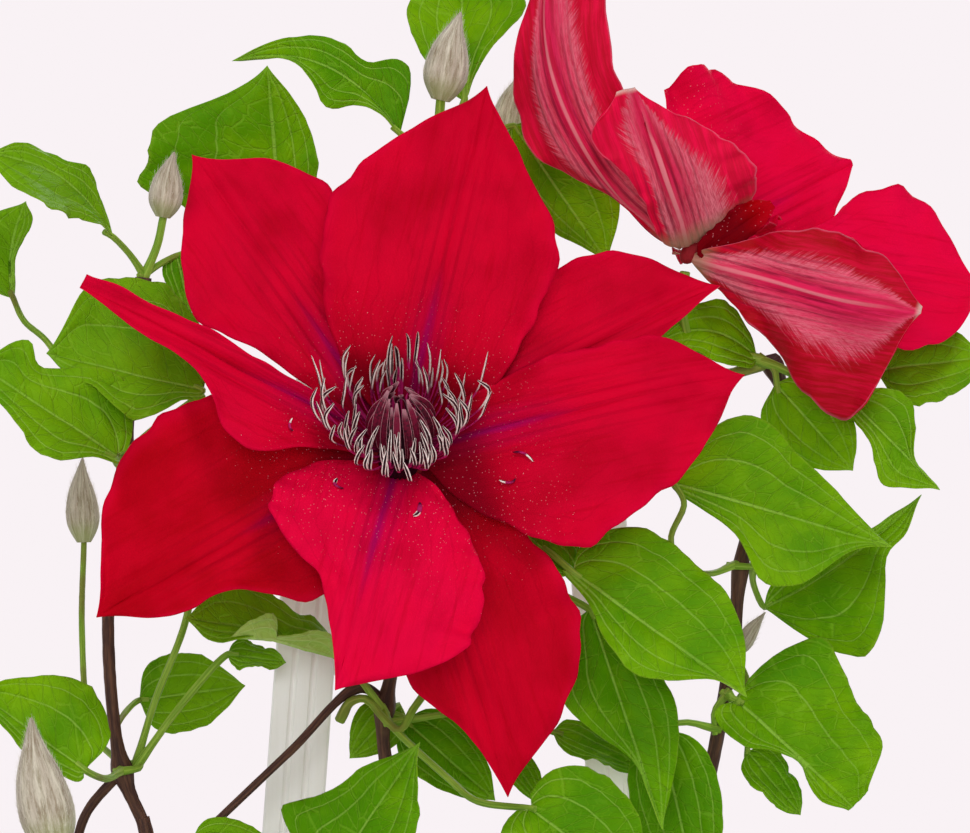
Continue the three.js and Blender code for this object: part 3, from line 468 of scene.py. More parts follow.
# %% Veins, grids and skins
LEAF_VEINS = (0.0, 0.46, 0.78)
LEAF_COLUMNS = (0, 0.05, 0.14, 0.26, 0.38, 0.43, 0.46, 0.49, 0.55, 0.66, 0.74, 0.78, 0.82, 0.9, 0.96, 1)
TEPAL_RIBS = ((0, 0.5), (3.2, 0.42), (6.2, 0.2))
TEPAL_COLUMNS = tuple(np.linspace(0, 1, 25) ** 1.12)
CROWDING = 0.6
UPPER, LOWER, RIM = 0, 1, 2


def groove(distance, width):
    return np.exp(-((distance / width) ** 2))


def leaf_relief(u, v, half, draw):
    """Height of a leaf's skin: main veins sunk, the flesh between them puffed."""
    sunk = sum(groove((np.abs(v) - at) * half, 0.55 - 0.2 * at) * (1 - 0.5 * at) for at in LEAF_VEINS)
    puff = np.sin(math.pi * np.clip(np.abs(v) / LEAF_VEINS[1], 0, 2)) ** 2
    ladder = np.sin(2 * math.pi * (5 * u - 1.3 * np.abs(v) + draw))
    return (-0.28 * sunk + 0.2 * puff + 0.16 * ladder * (1 - sunk)) * np.minimum(half / 6, 1)


def tepal_relief(u, v, half, draw):
    """Five grooves, the midrib's and two on each side, and faint side veins that fan outwards."""
    ribs = sum(groove(np.abs(v) * half - at, 0.8) * depth for at, depth in TEPAL_RIBS)
    fan = np.sin(np.abs(v) * half * 1.15 + 5 * u + 6 * draw)
    return (-ribs + 0.1 * fan) * np.clip(half / 10, 0, 1) * np.clip((1 - u) * 5, 0, 1)


def grid_shares(rows, columns):
    """Row shares that crowd at the base and tip, and column shares with one on each vein."""
    t = np.linspace(0, 1, rows)
    u = (1 - CROWDING) * t + CROWDING * (1 - np.cos(math.pi * t)) / 2
    return u, np.concatenate([-np.asarray(columns[:0:-1]), columns])


def blade_mesh(numbers, rows, columns, thickness, relief):
    """A blade's points, faces, the skin of each face, and its numbers at each point."""
    rows_u, cols_v = grid_shares(rows, columns)
    start = 0.97 * numbers.get("stalk", 0)
    u, v = np.meshgrid(start + (1 - start) * rows_u, cols_v, indexing="ij")
    points, half = blade_surface(numbers, u, v)
    tip = numbers["tip"]
    draw = draws(int(abs(tip[0] * 13 + tip[2] * 7)) + 1)()
    normal = np.cross(np.gradient(points, axis=1), np.gradient(points, axis=0))
    normal /= np.maximum(np.linalg.norm(normal, axis=2, keepdims=True), 1e-9)
    points = points + normal * relief(u, v, half, draw)[..., None]
    thick = thickness * (0.45 + 0.55 * (1 - np.abs(v) ** 5)) / 2 * np.clip((1 - u) * 9 + 0.4, 0, 1)
    upper, lower = points + normal * thick[..., None], points - normal * thick[..., None]
    count = u.size
    index = np.arange(count).reshape(u.shape)
    a, b, c, d = index[:-1, :-1], index[:-1, 1:], index[1:, 1:], index[1:, :-1]
    top = np.stack([a, b, c, d], axis=2).reshape(-1, 4)
    bottom = top[:, ::-1] + count
    rim = np.concatenate([index[0, :-1], index[:-1, -1], index[-1, :0:-1], index[:0:-1, 0]])
    following = np.roll(rim, -1)
    edge = np.column_stack([following, rim, rim + count, following + count])
    length = np.linalg.norm(np.subtract(tip, numbers["base"], dtype=float))
    tone_and_light = numbers.get("tone_and_light", 0.5)
    carried = {"along": u, "across": v, "half_mm": half, "length_mm": length, "draw": draw, "tone_and_light": tone_and_light}
    spread = {key: np.tile(np.broadcast_to(value, u.shape).ravel(), 2) for key, value in carried.items()}
    return {
        "points": np.concatenate([upper.reshape(-1, 3), lower.reshape(-1, 3)]),
        "faces": np.concatenate([top, bottom, edge]),
        "skins": np.repeat([UPPER, LOWER, RIM], [len(top), len(bottom), len(edge)]),
        "numbers": spread,
    }


def joined_blades(name, meshes, upper_finish, under_finish):
    """One object from many blades, with the upper and the under finish on their own skins."""
    shift = np.cumsum([0] + [len(m["points"]) for m in meshes[:-1]])
    points = np.concatenate([m["points"] for m in meshes]) * MM
    faces = np.concatenate([m["faces"] + s for m, s in zip(meshes, shift)])
    skins = np.concatenate([m["skins"] for m in meshes])
    piece = plain_mesh(name, points.tolist(), faces.tolist())
    mesh = piece.data
    mesh.materials.append(upper_finish)
    mesh.materials.append(under_finish)
    mesh.polygons.foreach_set("material_index", (skins == LOWER).astype(np.int32))
    mesh.polygons.foreach_set("use_smooth", skins != RIM)
    for key in meshes[0]["numbers"]:
        values = np.concatenate([m["numbers"][key] for m in meshes]).astype(np.float32)
        mesh.attributes.new(key, "FLOAT", "POINT").data.foreach_set("value", values)
    mesh.update()
    return piece


def settle(piece, slot, *nodes):
    """Fixes a finished piece to the body and hides the solids it stands for; its slot is not used."""
    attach(piece, "root")
    if nodes:
        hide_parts(*nodes)
    piece.data.calc_loop_triangles()
    print(piece.name, len(piece.data.loop_triangles), "triangles")


# %% [markdown]
# ## Finishes of the blades
#
# A red clematis tepal is velvet with fine lengthwise streaks, a violet flush along the ribs at its
# foot, and a cooler red along its margins. Its back is another cloth: a felt of silver hairs with
# dark stripes beside a pale midrib, and a bare crimson margin. A leaf is satin on top, with pale
# veins that run from the stalk to the tip and a fine net between them, and matt and paler below.
# All of it is drawn from the distances that each blade carries in millimetres, so veins are as
# wide on a small leaf as on a large one.


# %% Tepal finishes
def blade_terms(f):
    """What a blade carries, then the distances from its midrib and its base in millimetres."""
    along, across, half, length = f.read("along", "across", "half_mm", "length_mm")
    draw, tone_and_light = f.read("draw", "tone_and_light")
    return along, across, half, draw, tone_and_light, abs(across) * half, along * length


def lines_beside(f, off, *lines):
    """Lines along a blade, each at a distance from the midrib, with a width and a strength."""
    return sum(f.line(abs(off - at), width) * strength for at, width, strength in lines)


def velvet_finish():
    f = Finish("tepal_velvet", Specular_IOR_Level=0.02)
    along, across, half, draw, tone_and_light, off, up = blade_terms(f)
    side = across * half
    streaks = f.grain(4, 0.6, side * 0.9, up * 0.06, draw * 40)
    clouds = f.grain(3, 0.5, side * 0.08, up * 0.06, draw * 23)
    wobble = f.grain(2, 0.5, side * 0.1, up * 0.12, draw * 11)
    pile = f.noise(2600, 2, 0.5)
    fan_place = (abs(across) * 4.0 + wobble * 0.8).maths("FRACT") - 0.5
    fan = f.line(abs(fan_place) * half * 0.25, 0.32) * f.rise(along, 0.9, 0.3)
    ribs = lines_beside(f, off, (0, 0.55, 1), (2.6, 0.5, 0.8), (4.8, 0.45, 0.5))
    # shade: how strongly the painted shade near the foot darkens a tepal, less on brighter tones.
    shade = f.rise(tone_and_light, 0.8, 0.4)
    foot = f.rise(up, 36.0, 14.0) * f.rise(tone_and_light, 0.02, 0.1)
    specks = f.cells(1.25, where=f.join(side, up, draw * 50))
    dust = f.rise(specks, 0.17, 0.08) * f.rise(up + clouds * 26, 44.0, 22.0)
    red = f.paint(
        # The base red follows the tepal's tone, which is partly painted light.
        f.blend(tone_and_light, (168, 0, 2), (238, 5, 68)),
        (f.rise(clouds, 0.42, 0.68) * 0.35, (222, 2, 44)),
        (f.rise(clouds, 0.54, 0.26) * 0.4, (146, 0, 2)),
        (f.rise(streaks, 0.5, 0.72) * 0.3, (160, 0, 8)),
        (fan * 0.12, (120, 0, 14)),
        (ribs * f.rise(along, 0.95, 0.35) * 0.34, (120, 0, 22)),
        (f.rise(abs(across), 0.86, 1.0) * 0.3, (224, 2, 60)),
        # Painted shade: the tepal darkens towards its foot, round the crown.
        (f.rise(up + streaks * 12.0, 34.0, 14.0) * shade * 0.45, (136, 0, 8)),
        (foot * f.rise(off + streaks * 4.0, 7.5, 3.0) * 0.35, (176, 2, 76)),
        (foot * f.rise(off + streaks * 2.4, 2.7, 1.2) * 0.5, (142, 8, 104)),
        # Painted shade: the deepest shade, close under the crown.
        (f.rise(up, 17.0, 9.0) * shade * 0.6, (70, 0, 14)),
        (dust * 0.5, (232, 150, 160)),
    )
    height = streaks * 0.35 + pile * 0.3 - ribs * 0.3 - fan * 0.15
    return f.show(red, pile * 0.2 + 0.5, height, 0.2)


def felt_finish():
    f = Finish("tepal_felt", Specular_IOR_Level=0.12)
    along, across, half, draw, tone_and_light, off, up = blade_terms(f)
    v, side = abs(across), across * half
    streaks = f.grain(4, 0.65, side * 1.3, up * 0.1, draw * 40)
    hairs = f.grain(3, 0.7, side * 4.2, up * 0.55, draw * 31)
    fray = f.grain(3, 0.65, side * 0.3, (up - off) * 1.9, draw * 13)
    # The crimson and the middle follow the tepal's tone, which is partly painted light.
    crimson = f.blend(f.rise(streaks, 0.35, 0.7) * 0.5 + tone_and_light * 0.5, (158, 0, 6), (232, 0, 66))
    middle = f.blend(f.rise(streaks, 0.4, 0.62) * 0.6 + tone_and_light * 0.4, (222, 30, 86), (176, 12, 48))
    haze = f.rise(v, 0.06, 0.42) * 0.75 + f.rise(up, 20.0, 4.0) * 0.5
    felt = f.blend(haze * (f.rise(hairs, 0.36, 0.62) * 0.65 + 0.35) * 0.85, middle, (230, 126, 142))
    reach = 0.66 - along * 0.3
    band = f.rise(v + (fray - 0.5) * 0.5, reach + 0.1, reach - 0.1)
    stripes = lines_beside(f, off, (1.5, 0.42, 1), (2.9, 0.4, 0.85), (4.4, 0.36, 0.7), (6.0, 0.34, 0.5))
    stripes = stripes * f.rise(along, 0.96, 0.45)
    back = f.paint(
        f.blend(band, crimson, felt),
        (stripes * f.rise(streaks, 0.3, 0.56) * 0.7, (120, 8, 44)),
        (f.line(off, 0.4) * f.rise(along, 1.0, 0.6) * 0.55, (230, 150, 156)),
        (f.rise(up, 7.0, 1.5) * 0.6, (158, 152, 112)),
        (f.rise(v, 0.965, 1.0) * 0.5, (236, 110, 140)),
        (f.rise(along, 0.97, 1.0) * 0.7, (226, 202, 190)),
    )
    return f.show(back, hairs * 0.25 + 0.55, hairs * 0.5 * band + streaks * 0.3 - stripes * 0.4, 0.22)


# %% Leaf finishes
VEIN_WIDTHS = (0.32, 0.24)


def vein_terms(f):
    """Main veins, side veins and the net of a leaf, each 1 on the vein, and what they start from."""
    along, across, half, draw, _, off, up = blade_terms(f)
    v, side = abs(across), across * half
    wobble = f.grain(2, 0.5, side * 0.14, up * 0.14, draw * 17) - 0.5
    taper = f.rise(along, 1.05, 0.2) * 0.6 + 0.4
    main = f.line(off, 0.42) * taper
    for at, width in zip(LEAF_VEINS[1:], VEIN_WIDTHS):
        main = main.above(f.line(abs(v - at + wobble * 0.05) * half, width) * taper * 0.8)
    bent = up - off * 0.75
    wide_place = f.join(side * 0.17 + wobble * 0.6, bent * 0.27 + wobble * 0.5, draw * 50)
    small_place = f.join(side * 0.5 + wobble, bent * 0.52 + wobble, draw * 31)
    branches = f.rise(f.cells(1.0, "DISTANCE_TO_EDGE", wide_place), 0.045, 0.01)
    net = f.rise(f.cells(1.0, "DISTANCE_TO_EDGE", small_place), 0.09, 0.02)
    return main, branches, net, draw, along, v, wobble


def leaf_finish():
    f = Finish("leaf_satin", Specular_IOR_Level=0.05)
    main, branches, net, draw, along, v, wobble = vein_terms(f)
    clouds = f.noise(70, 3, 0.55)
    pores = f.noise(3000, 2, 0.5)
    green = f.paint(
        f.blend(f.rise(clouds + draw * 0.35 - 0.17, 0.3, 0.74), (78, 139, 0), (120, 172, 0)),
        (f.rise(along * 0.5 + wobble, 0.1, 0.7) * 0.2, (140, 186, 4)),
        (f.rise(draw, 0.45, 1.0) * 0.3, (64, 124, 26)),
        (net * 0.1, (138, 190, 40)),
        (branches * 0.19, (150, 200, 56)),
        (main * 0.52, (164, 208, 86)),
        (f.rise(v, 0.96, 1.0) * 0.4, (140, 176, 44)),
    )
    height = pores * 0.1 + clouds * 0.3 - main * 0.5 - branches * 0.4 - net * 0.2
    return f.show(green, clouds * 0.12 + pores * 0.12 + 0.4, height, 0.34)


def leaf_under_finish():
    f = Finish("leaf_underside", Specular_IOR_Level=0.1)
    main, branches, net, draw, *_ = vein_terms(f)
    clouds = f.noise(80, 3, 0.55)
    pores = f.noise(3200, 2, 0.5)
    green = f.paint(
        f.blend(f.rise(clouds + draw * 0.2 - 0.1, 0.3, 0.7), (134, 176, 66), (158, 194, 88)),
        (main.above(branches * 0.6).above(net * 0.3) * 0.7, (184, 214, 126)),
    )
    return f.show(green, pores * 0.16 + 0.58, pores * 0.2 + main * 0.7 + branches * 0.4 + net * 0.3, 0.2)


tepal_skins = velvet_finish(), felt_finish()
leaf_skins = leaf_finish(), leaf_under_finish()
print("blade finishes", [m.name for m in tepal_skins + leaf_skins])

# %% [markdown]
# ## Stems, stalks and threads by Geometry Nodes
#
# Everything round on the plant is a line with a thickness: wood, leaf stalks, stamens, styles.
# One Geometry Nodes tree sweeps a small ribbed ring along each line. The line's points carry the
# radius, so a stem swells at a joint and a stamen is thin below and a flat ribbon above. The
# tree's inputs set how many points the ring has, how deep its ribs are, and how flat it is. It
# leaves its numbers on the skin: how far along the line a point is, where it is on the ring, a
# draw for each line, and a rib that is 0 on a ridge and 1 in the groove beside it.


# %% The sweeping tree
SOCKETS = {float: "NodeSocketFloat", int: "NodeSocketInt"}


def new_tree(name, inputs):
    """A Geometry Nodes tree with geometry in and out, named inputs and a finish."""
    tree = bpy.data.node_groups.new(name, "GeometryNodeTree")
    face = tree.interface
    face.new_socket("Geometry", in_out="INPUT", socket_type="NodeSocketGeometry")
    for key, value in inputs.items():
        face.new_socket(key, in_out="INPUT", socket_type=SOCKETS[type(value)]).default_value = value
    face.new_socket("Finish", in_out="INPUT", socket_type="NodeSocketMaterial")
    face.new_socket("Geometry", in_out="OUTPUT", socket_type="NodeSocketGeometry")
    maker = Maker(tree)
    return maker, maker.add("NodeGroupInput")


def close_tree(maker, given, geometry):
    """Ends a tree in real geometry with its finish."""
    real = maker.add("GeometryNodeRealizeInstances", {}, [geometry])
    painted = maker.add("GeometryNodeSetMaterial", {}, {"Geometry": real, "Material": given["Finish"]})
    output = maker.tree.nodes.new("NodeGroupOutput")
    maker.tree.links.new(painted.socket, output.inputs["Geometry"])
    return maker.tree


def keep(maker, geometry, name, value, domain="POINT"):
    """Stores a number under a name on a geometry."""
    inputs = {"Geometry": geometry, "Name": name, "Value": value}
    return maker.add("GeometryNodeStoreNamedAttribute", {"data_type": "FLOAT", "domain": domain}, inputs)


def random_value(maker, low, high, seed, kind="FLOAT"):
    first, out = (2, 1) if kind == "FLOAT" else (0, 0)
    inputs = {first: low, first + 1: high, "ID": maker.add("GeometryNodeInputIndex"), "Seed": seed}
    return maker.add("FunctionNodeRandomValue", {"data_type": kind}, inputs, out=out)


def sweep_tree():
    maker, given = new_tree("swept_lines", {"Ring points": 12, "Rib depth": 0.08, "Flatness": 1.0})
    count = {"Resolution": given["Ring points"]}
    ring = maker.add("GeometryNodeCurvePrimitiveCircle", {"mode": "RADIUS"}, count)
    rib = maker.add("GeometryNodeInputIndex").maths("MODULO", 2)
    place = maker.add("GeometryNodeInputPosition")
    spot = maker.split(place)
    for name, value in (("rib", rib), ("ring_x", spot["X"]), ("ring_y", spot["Y"])):
        ring = keep(maker, ring, name, value)
    pressed = maker.vectors("MULTIPLY", place, maker.join(1.0, given["Flatness"], 1.0))
    pressed = maker.scaled(pressed, 1 - given["Rib depth"] * rib)
    ring = maker.add("GeometryNodeSetPosition", {}, {"Geometry": ring, "Position": pressed})
    span = maker.add("GeometryNodeSplineParameter")
    line = keep(maker, given["Geometry"], "length_mm", span["Length"] * 1000)
    line = keep(maker, line, "share", span["Factor"])
    line = keep(maker, line, "draw", random_value(maker, 0.0, 1.0, 4), "CURVE")
    width = maker.add("GeometryNodeInputRadius")
    inputs = {"Curve": line, "Profile Curve": ring, "Scale": width, "Fill Caps": True}
    skin = maker.add("GeometryNodeCurveToMesh", {}, inputs)
    return close_tree(maker, given, maker.add("GeometryNodeSetShadeSmooth", {}, {"Geometry": skin}))


def grow(carrier, tree, name, finish, **values):
    """Runs a tree on an object and gives the result as a plain mesh piece."""
    modifier = carrier.modifiers.new(name, "NODES")
    modifier.node_group = tree
    names = {s.name: s.identifier for s in tree.interface.items_tree if s.in_out == "INPUT"}
    modifier[names["Finish"]] = finish
    for key, value in values.items():
        modifier[names[key.replace("_", " ")]] = value
    graph = bpy.context.evaluated_depsgraph_get()
    grown = carrier.evaluated_get(graph)
    mesh = bpy.data.meshes.new_from_object(grown, preserve_all_data_layers=True, depsgraph=graph)
    mesh.name = name
    carrier.modifiers.remove(modifier)
    return linked(name, mesh)


def line_carrier(lines):
    """A curve object from (points, radii) in millimetres."""
    curve = bpy.data.curves.new("lines", "CURVE")
    curve.dimensions = "3D"
    for points, radii in lines:
        spline = curve.splines.new("POLY")
        spline.points.add(len(points) - 1)
        p = np.asarray(points, float) * MM
        spline.points.foreach_set("co", np.column_stack([p, np.ones(len(p))]).ravel())
        spline.points.foreach_set("radius", np.asarray(radii, float) * MM)
    return linked("lines", curve)


sweep = sweep_tree()


def swept(name, lines, finish, slot, *nodes, ring=8, ribs=0.12, flat=1.0):
    """A settled piece from lines: ring is its points round, ribs their depth, flat its flatness."""
    carrier = line_carrier(lines)
    piece = grow(carrier, sweep, name, finish, Ring_points=ring, Rib_depth=ribs, Flatness=flat)
    bpy.data.objects.remove(carrier)
    settle(piece, slot, *nodes)


print("sweeping tree", len(sweep.nodes), "nodes")


# %% Finishes of stems and threads
def wood_finish():
    f = Finish("stem_bark", Specular_IOR_Level=0.3)
    x, y, run, draw, rib = f.read("ring_x", "ring_y", "length_mm", "draw", "rib")
    fibre = f.grain(4, 0.65, x * 2.6, y * 2.6, run * 0.16 + draw * 30)
    patch = f.noise(60, 4, 0.6)
    brown = f.paint(
        f.blend(f.rise(fibre, 0.35, 0.7), (62, 36, 30), (112, 76, 56)),
        (f.rise(patch, 0.56, 0.72) * 0.4, (128, 108, 72)),
        (rib * 0.35, (48, 28, 26)),
    )
    return f.show(brown, fibre * 0.25 + 0.5, fibre * 0.8 + patch * 0.4, 0.3)


def green_stem_finish():
    f = Finish("green_stalk", Specular_IOR_Level=0.2)
    x, y, run, draw, rib = f.read("ring_x", "ring_y", "length_mm", "draw", "rib")
    fibre = f.grain(3, 0.6, x * 2.0, y * 2.0, run * 0.12 + draw * 30)
    patch = f.noise(55, 3, 0.6)
    green = f.paint(
        f.blend(f.rise(fibre, 0.35, 0.7), (116, 158, 40), (162, 196, 74)),
        (f.rise(patch + draw * 0.3, 0.7, 0.9) * 0.6, (122, 84, 56)),
        (rib * 0.3, (100, 136, 38)),
    )
    return f.show(green, fibre * 0.2 + 0.46, fibre * 0.7 + patch * 0.2, 0.2)


def stamen_finish():
    f = Finish("stamen_ribbon", Specular_IOR_Level=0.15)
    share, draw, x = f.read("share", "draw", "ring_x")
    flecks = f.noise(1500, 3, 0.6)
    wine = f.blend(f.rise(flecks + draw * 0.3, 0.45, 0.75), (104, 4, 50), (186, 28, 104))
    dark = f.blend(f.rise(flecks, 0.4, 0.65), (30, 2, 12), (70, 14, 28))
    pale = f.blend(f.rise(flecks, 0.35, 0.65), (236, 212, 206), (254, 246, 238))
    anther = f.rise(share, 0.58, 0.66)
    rim = f.rise(abs(x) + flecks * 0.14, 0.5, 0.66)
    colour = f.paint(
        wine,
        (anther, f.blend(rim, dark, pale)),
        # Painted shade: the thread darkens to near-black near its foot, deep in the crown.
        (f.rise(share, 0.36, 0.05) * 0.85, (44, 0, 20)),
    )
    return f.show(colour, flecks * 0.2 + 0.55, flecks * 0.5 + rim * anther * 0.6, 0.12)


def style_finish():
    f = Finish("style_silk", Specular_IOR_Level=0.2)
    share, draw, x = f.read("share", "draw", "ring_x")
    flecks = f.noise(1800, 3, 0.6)
    colour = f.paint(
        f.blend(f.rise(flecks + draw * 0.3, 0.4, 0.8), (46, 0, 16), (112, 0, 42)),
        (f.rise(abs(x) + flecks * 0.2, 0.88, 1.04) * 0.85, (240, 176, 186)),
        # Painted shade: the ribbon darkens to near-black near its foot, deep in the crown.
        (f.rise(share, 0.45, 0.0) * 0.85, (52, 2, 26)),
        (f.rise(share, 0.86, 1.0) * 0.6, (206, 150, 160)),
    )
    return f.show(colour, flecks * 0.2 + 0.55, flecks, 0.1)


def bud_finish():
    f = Finish("bud_silk", Specular_IOR_Level=0.15, Sheen_Weight=0.3, Sheen_Roughness=0.35)
    share, x, y, run, draw, rib = f.read("share", "ring_x", "ring_y", "length_mm", "draw", "rib")
    hairs = f.grain(4, 0.7, x * 5.0, y * 5.0, run * 0.16 + draw * 20)
    fine = f.noise(2200, 2, 0.6)
    silver = f.paint(
        f.blend(f.rise(hairs, 0.36, 0.66), (164, 154, 128), (228, 222, 202)),
        (f.rise(hairs, 0.42, 0.34) * 0.4, (122, 96, 84)),
        (rib * 0.42, (146, 124, 108)),
        (f.rise(share, 0.34, 0.06) * 0.6, (152, 168, 96)),
    )
    return f.show(silver, fine * 0.2 + 0.6, hairs * 0.9 + fine * 0.4 - rib * 0.3, 0.3)


def flecked_finish(name, first, second, rough, shine=0.2, scale=1200, sharp=True, depth=0.1):
    """A finish that wanders between two colours, in flecks or in a soft cloud."""
    f = Finish(name, Specular_IOR_Level=shine)
    flecks = f.noise(scale, 3, 0.6)
    share = f.rise(flecks, 0.35, 0.65) if sharp else flecks
    return f.show(f.blend(share, first, second), flecks * 0.2 + rough, flecks, depth)


HEART_WAYS = dict(shine=0.1, scale=1400, sharp=False, depth=0.2)
bark, green_stalk, stamen_ribbon = wood_finish(), green_stem_finish(), stamen_finish()
style_silk, bud_silk = style_finish(), bud_finish()
# The crown's heart is painted nearly black as the shade between the stamens.
crown_heart = flecked_finish("crown_heart", (22, 0, 10), (52, 2, 24), 0.6, **HEART_WAYS)
bloom_seat = flecked_finish("bloom_seat", (120, 4, 24), (150, 40, 44), 0.6, **HEART_WAYS)
thread_finishes = (bark, green_stalk, stamen_ribbon, style_silk, bud_silk, crown_heart, bloom_seat)
print("stem finishes", [m.name for m in thread_finishes])

# %% [markdown]
# ## Where everything grows
#
# These are the plant's own numbers, in millimetres: the lines of the stems with their radii, and
# the blades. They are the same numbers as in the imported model, so each living piece lies on its
# solid. A spray is what leaves the wood at one joint. Its stems are radii with lines, its leaves
# and its small leaflets are blades, and a bud is a base, a tip and a radius.

# %% The blooms' tepals
FRONT_WAYS = dict(face=(0, -1, 0.15), fold=0.05, wave=0.9, waves=3)
FRONT_TEPALS = [
    blade((-13, -47.5, 361), (-53, -40, 417.4), (4, 7, 12, 18.5, 12, 0), (4, 7, 12, 18.5, 15, 0), arch=5),
    blade((-8, -47.5, 360), (53.4, -42, 391), (4, 8, 12, 17.5, 14, 0), (4, 8, 11, 7, 3.6, 0), arch=4),
    blade((-9.5, -47.5, 355), (10.6, -50, 288.6), (5, 15, 22, 23.5, 16, 0), (5, 10, 12, 12.5, 4, 0), arch=3),
    blade((-13.5, -47.5, 357), (-71.6, -52, 324.6), (6, 14, 19, 9, 7.5, 0), (8, 20, 27.5, 27.5, 20, 0),
          arch=3),
    blade((-10.4, -49, 361), (6.4, -44, 431), (5, 17.5, 23.5, 24.5, 15, 0), (5, 16, 20.5, 21.8, 11.5, 0),
          arch=5, fold=0.08),
    blade((-7.5, -49, 358), (58, -48, 373), (4, 8, 11, 11.5, 10, 0), (6, 19, 27, 22.5, 15, 0), arch=6),
    blade((-11.5, -49, 355), (-23.6, -68, 310.6), (6, 15, 22, 24, 20, 0), (10, 21, 21, 9, 3.5, 0), arch=6),
    blade((-13.6, -49, 359), (-74.6, -58, 390.4), (3, 9, 16.5, 5.5, 3.2, 0), (3, 3, 3, 4.4, 3.6, 5), arch=3,
          fold=0.5, wave=0.4, waves=2),
]
BACK_TEPALS = [
    blade((46, -22, 399), (20.2, -24, 464), (3, 8, 11, 13, 11.5, 3), (2, 1.6, 10, 10, 5, 0),
          face=(0.15, 0.9, 0.35), bend=11, arch=-4, fold=0.2, wave=1.2, waves=3),
    blade((47, -23, 399.5), (36.2, -34, 431.2), (14, 18, 18.5, 14, 7, 0), (4, 5.5, 6, 8, 12, 6),
          face=(0, 1, 0), arch=-10, fold=0.3, wave=0.8, waves=2),
    blade((48, -20, 399.5), (82.5, 10, 417), (6, 28, 33, 27, 14, 2), (4, 8, 9, 9, 7.5, 0),
          face=(0.53, -0.77, 0.27), arch=-3, fold=0.15, wave=1.4, waves=3),
    blade((49, -20, 397), (110, 8, 391), (4, 6, 8, 18.5, 15.5, 0), (4, 11, 17, 19, 15, 0),
          face=(-0.2, -0.9, 0.4), arch=3, fold=0.15, wave=1.2, waves=3),
    blade((48, -22.5, 397), (94, -36, 385.6), (2, 6, 13, 22, 25, 0), (2, 6, 11, 12.5, 10, 2),
          face=(0.1, 1, 0.2), arch=-5, fold=0.2, wave=1, waves=3),
    blade((48, -20, 398), (66, 18, 406), (4, 8, 10, 10, 7, 0), (4, 8, 10, 10, 7, 0), face=(-0.3, -0.2, 0.9),
          arch=-2, fold=0.2, wave=1, waves=2),
]
INNER_FOLD = blade(
    (49.4, -24.2, 397.4), (64.6, -24.2, 407.8), (1.5, 2.8, 3.4, 3.6, 3.4, 1.6), (1.5, 2.4, 3, 3, 2.6, 1.2),
    face=(0.2, -1, 0.3), arch=1, fold=0.1, wave=0.7, waves=2,
)
print("tepals", len(FRONT_TEPALS), "and", len(BACK_TEPALS))

# %% The sprays
SPRAYS = {}
SPRAYS["spray_upper_left"] = dict(
    stems=[
        (0.9, ((-64.5, -5, 392.8), (-61.5, -5, 400), (-60.3, -5, 405.6))),
        (0.7, ((-64.4, -5, 394), (-67, -9, 398), (-70.3, -15, 401.6), (-71, -15.6, 402))),
        (0.7, ((-64.4, -5, 394), (-58, 4, 398), (-46, 18, 401), (-37, 23.7, 404), (-37, 23.8, 404.8))),
    ],
    leaves=[
        blade((-70.3, -15, 401.6), (-95, -30, 418), (1, 5, 8, 13, 14, 9, 0), (1, 5.5, 6, 4.5, 5, 3.5, 0),
              face=(0.2, -0.8, 0.8), arch=3, bend=3),
        blade((-37, 24, 404), (-39.5, 17, 438), (8, 17, 22, 30, 28, 27, 24, 8, 0),
              (3, 6.5, 8.5, 8.5, 7, 4, 0), face=(0.1, -1, 0.3), arch=2),
    ],
    small=[blade((-58, 4, 398.5), (-55, 2, 386), half=4)],
    buds=[((-60.3, -5, 406.1), (-58.1, -5, 419.2), 3.4)],
)
SPRAYS["spray_left"] = dict(
    stems=[
        (0.8, ((-68.4, -8.4, 356), (-69, -20, 355), (-69.4, -30, 356.5), (-70.2, -30.6, 356.8))),
        (0.7, ((-68.4, -8.9, 356.6), (-62, -17, 362), (-51.5, -22, 370), (-52.2, -22, 370.4))),
        (0.7, ((-68.8, -9, 356), (-76, -4, 366), (-84.3, 0, 379.9), (-89, -6, 384.5), (-91, -11.4, 389.4))),
    ],
    leaves=[
        blade((-68.8, -30, 356.7), (-97, -36, 375.5), (1, 4, 9, 9, 6.5, 3.5, 0),
              (3, 13.5, 14, 10.5, 7.5, 9.5, 0), face=(-0.1, -0.9, 0.6), heart=3),
        blade((-51.5, -22, 370), (-83, -28, 377.5), (2.5, 5, 10, 11.5, 7, 4, 0), (9, 16.5, 20, 21, 20, 16, 0),
              face=(0, -0.9, 0.6), heart=2),
        blade((-91, -11, 389), (-88.5, -6, 409), (3, 9, 12, 11, 7, 0), (0.5, 1, 1, 2, 3, 0),
              face=(0, -1, 0.3), bend=-1.5),
    ],
)
SPRAYS["spray_low_left"] = dict(
    stems=[
        (0.8, ((-68.8, -13.4, 292), (-71, -24, 291), (-74.8, -35, 293.3), (-75.6, -35, 293.9))),
        (0.8, ((-65.6, -8.4, 293.6), (-62, -5, 306), (-56, -4, 321.5), (-53, -4, 336))),
        (0.7, ((-69, -6.4, 293.2), (-76, 10, 300), (-78.6, 24, 320), (-78.5, 30, 338.3))),
        (0.7, ((-68.8, -13.4, 292), (-65, -11.4, 292.6), (-65.4, -8, 293.4), (-69, -6.4, 293.2))),
        (0.7, ((-69, -6.4, 293.2), (-71, 8, 299), (-66.7, 30, 305), (-66, 30, 305))),
        (0.8, ((-65.2, -9.4, 293.4), (-56, -8, 306), (-47, -6, 315.7), (-46, -6, 315.6))),
    ],
    leaves=[
        blade((-74.8, -35, 293.3), (-97, -36, 309.5), (3, 5, 5, 4, 2, 0), (8, 13, 14, 12, 7, 0),
              face=(0, -0.9, 0.5), heart=2),
        blade((-66.7, 30, 305), (-44.5, 30, 308), face=(0, -1, 0.3), half=9),
    ],
    small=[
        blade((-53, -4, 335), (-42, 2, 362), half=10),
        blade((-47, -6, 315.7), (-35, -5, 314), half=4.5),
    ],
    buds=[((-78.5, 30, 338.7), (-78.9, 30, 356), 3.4)],
)
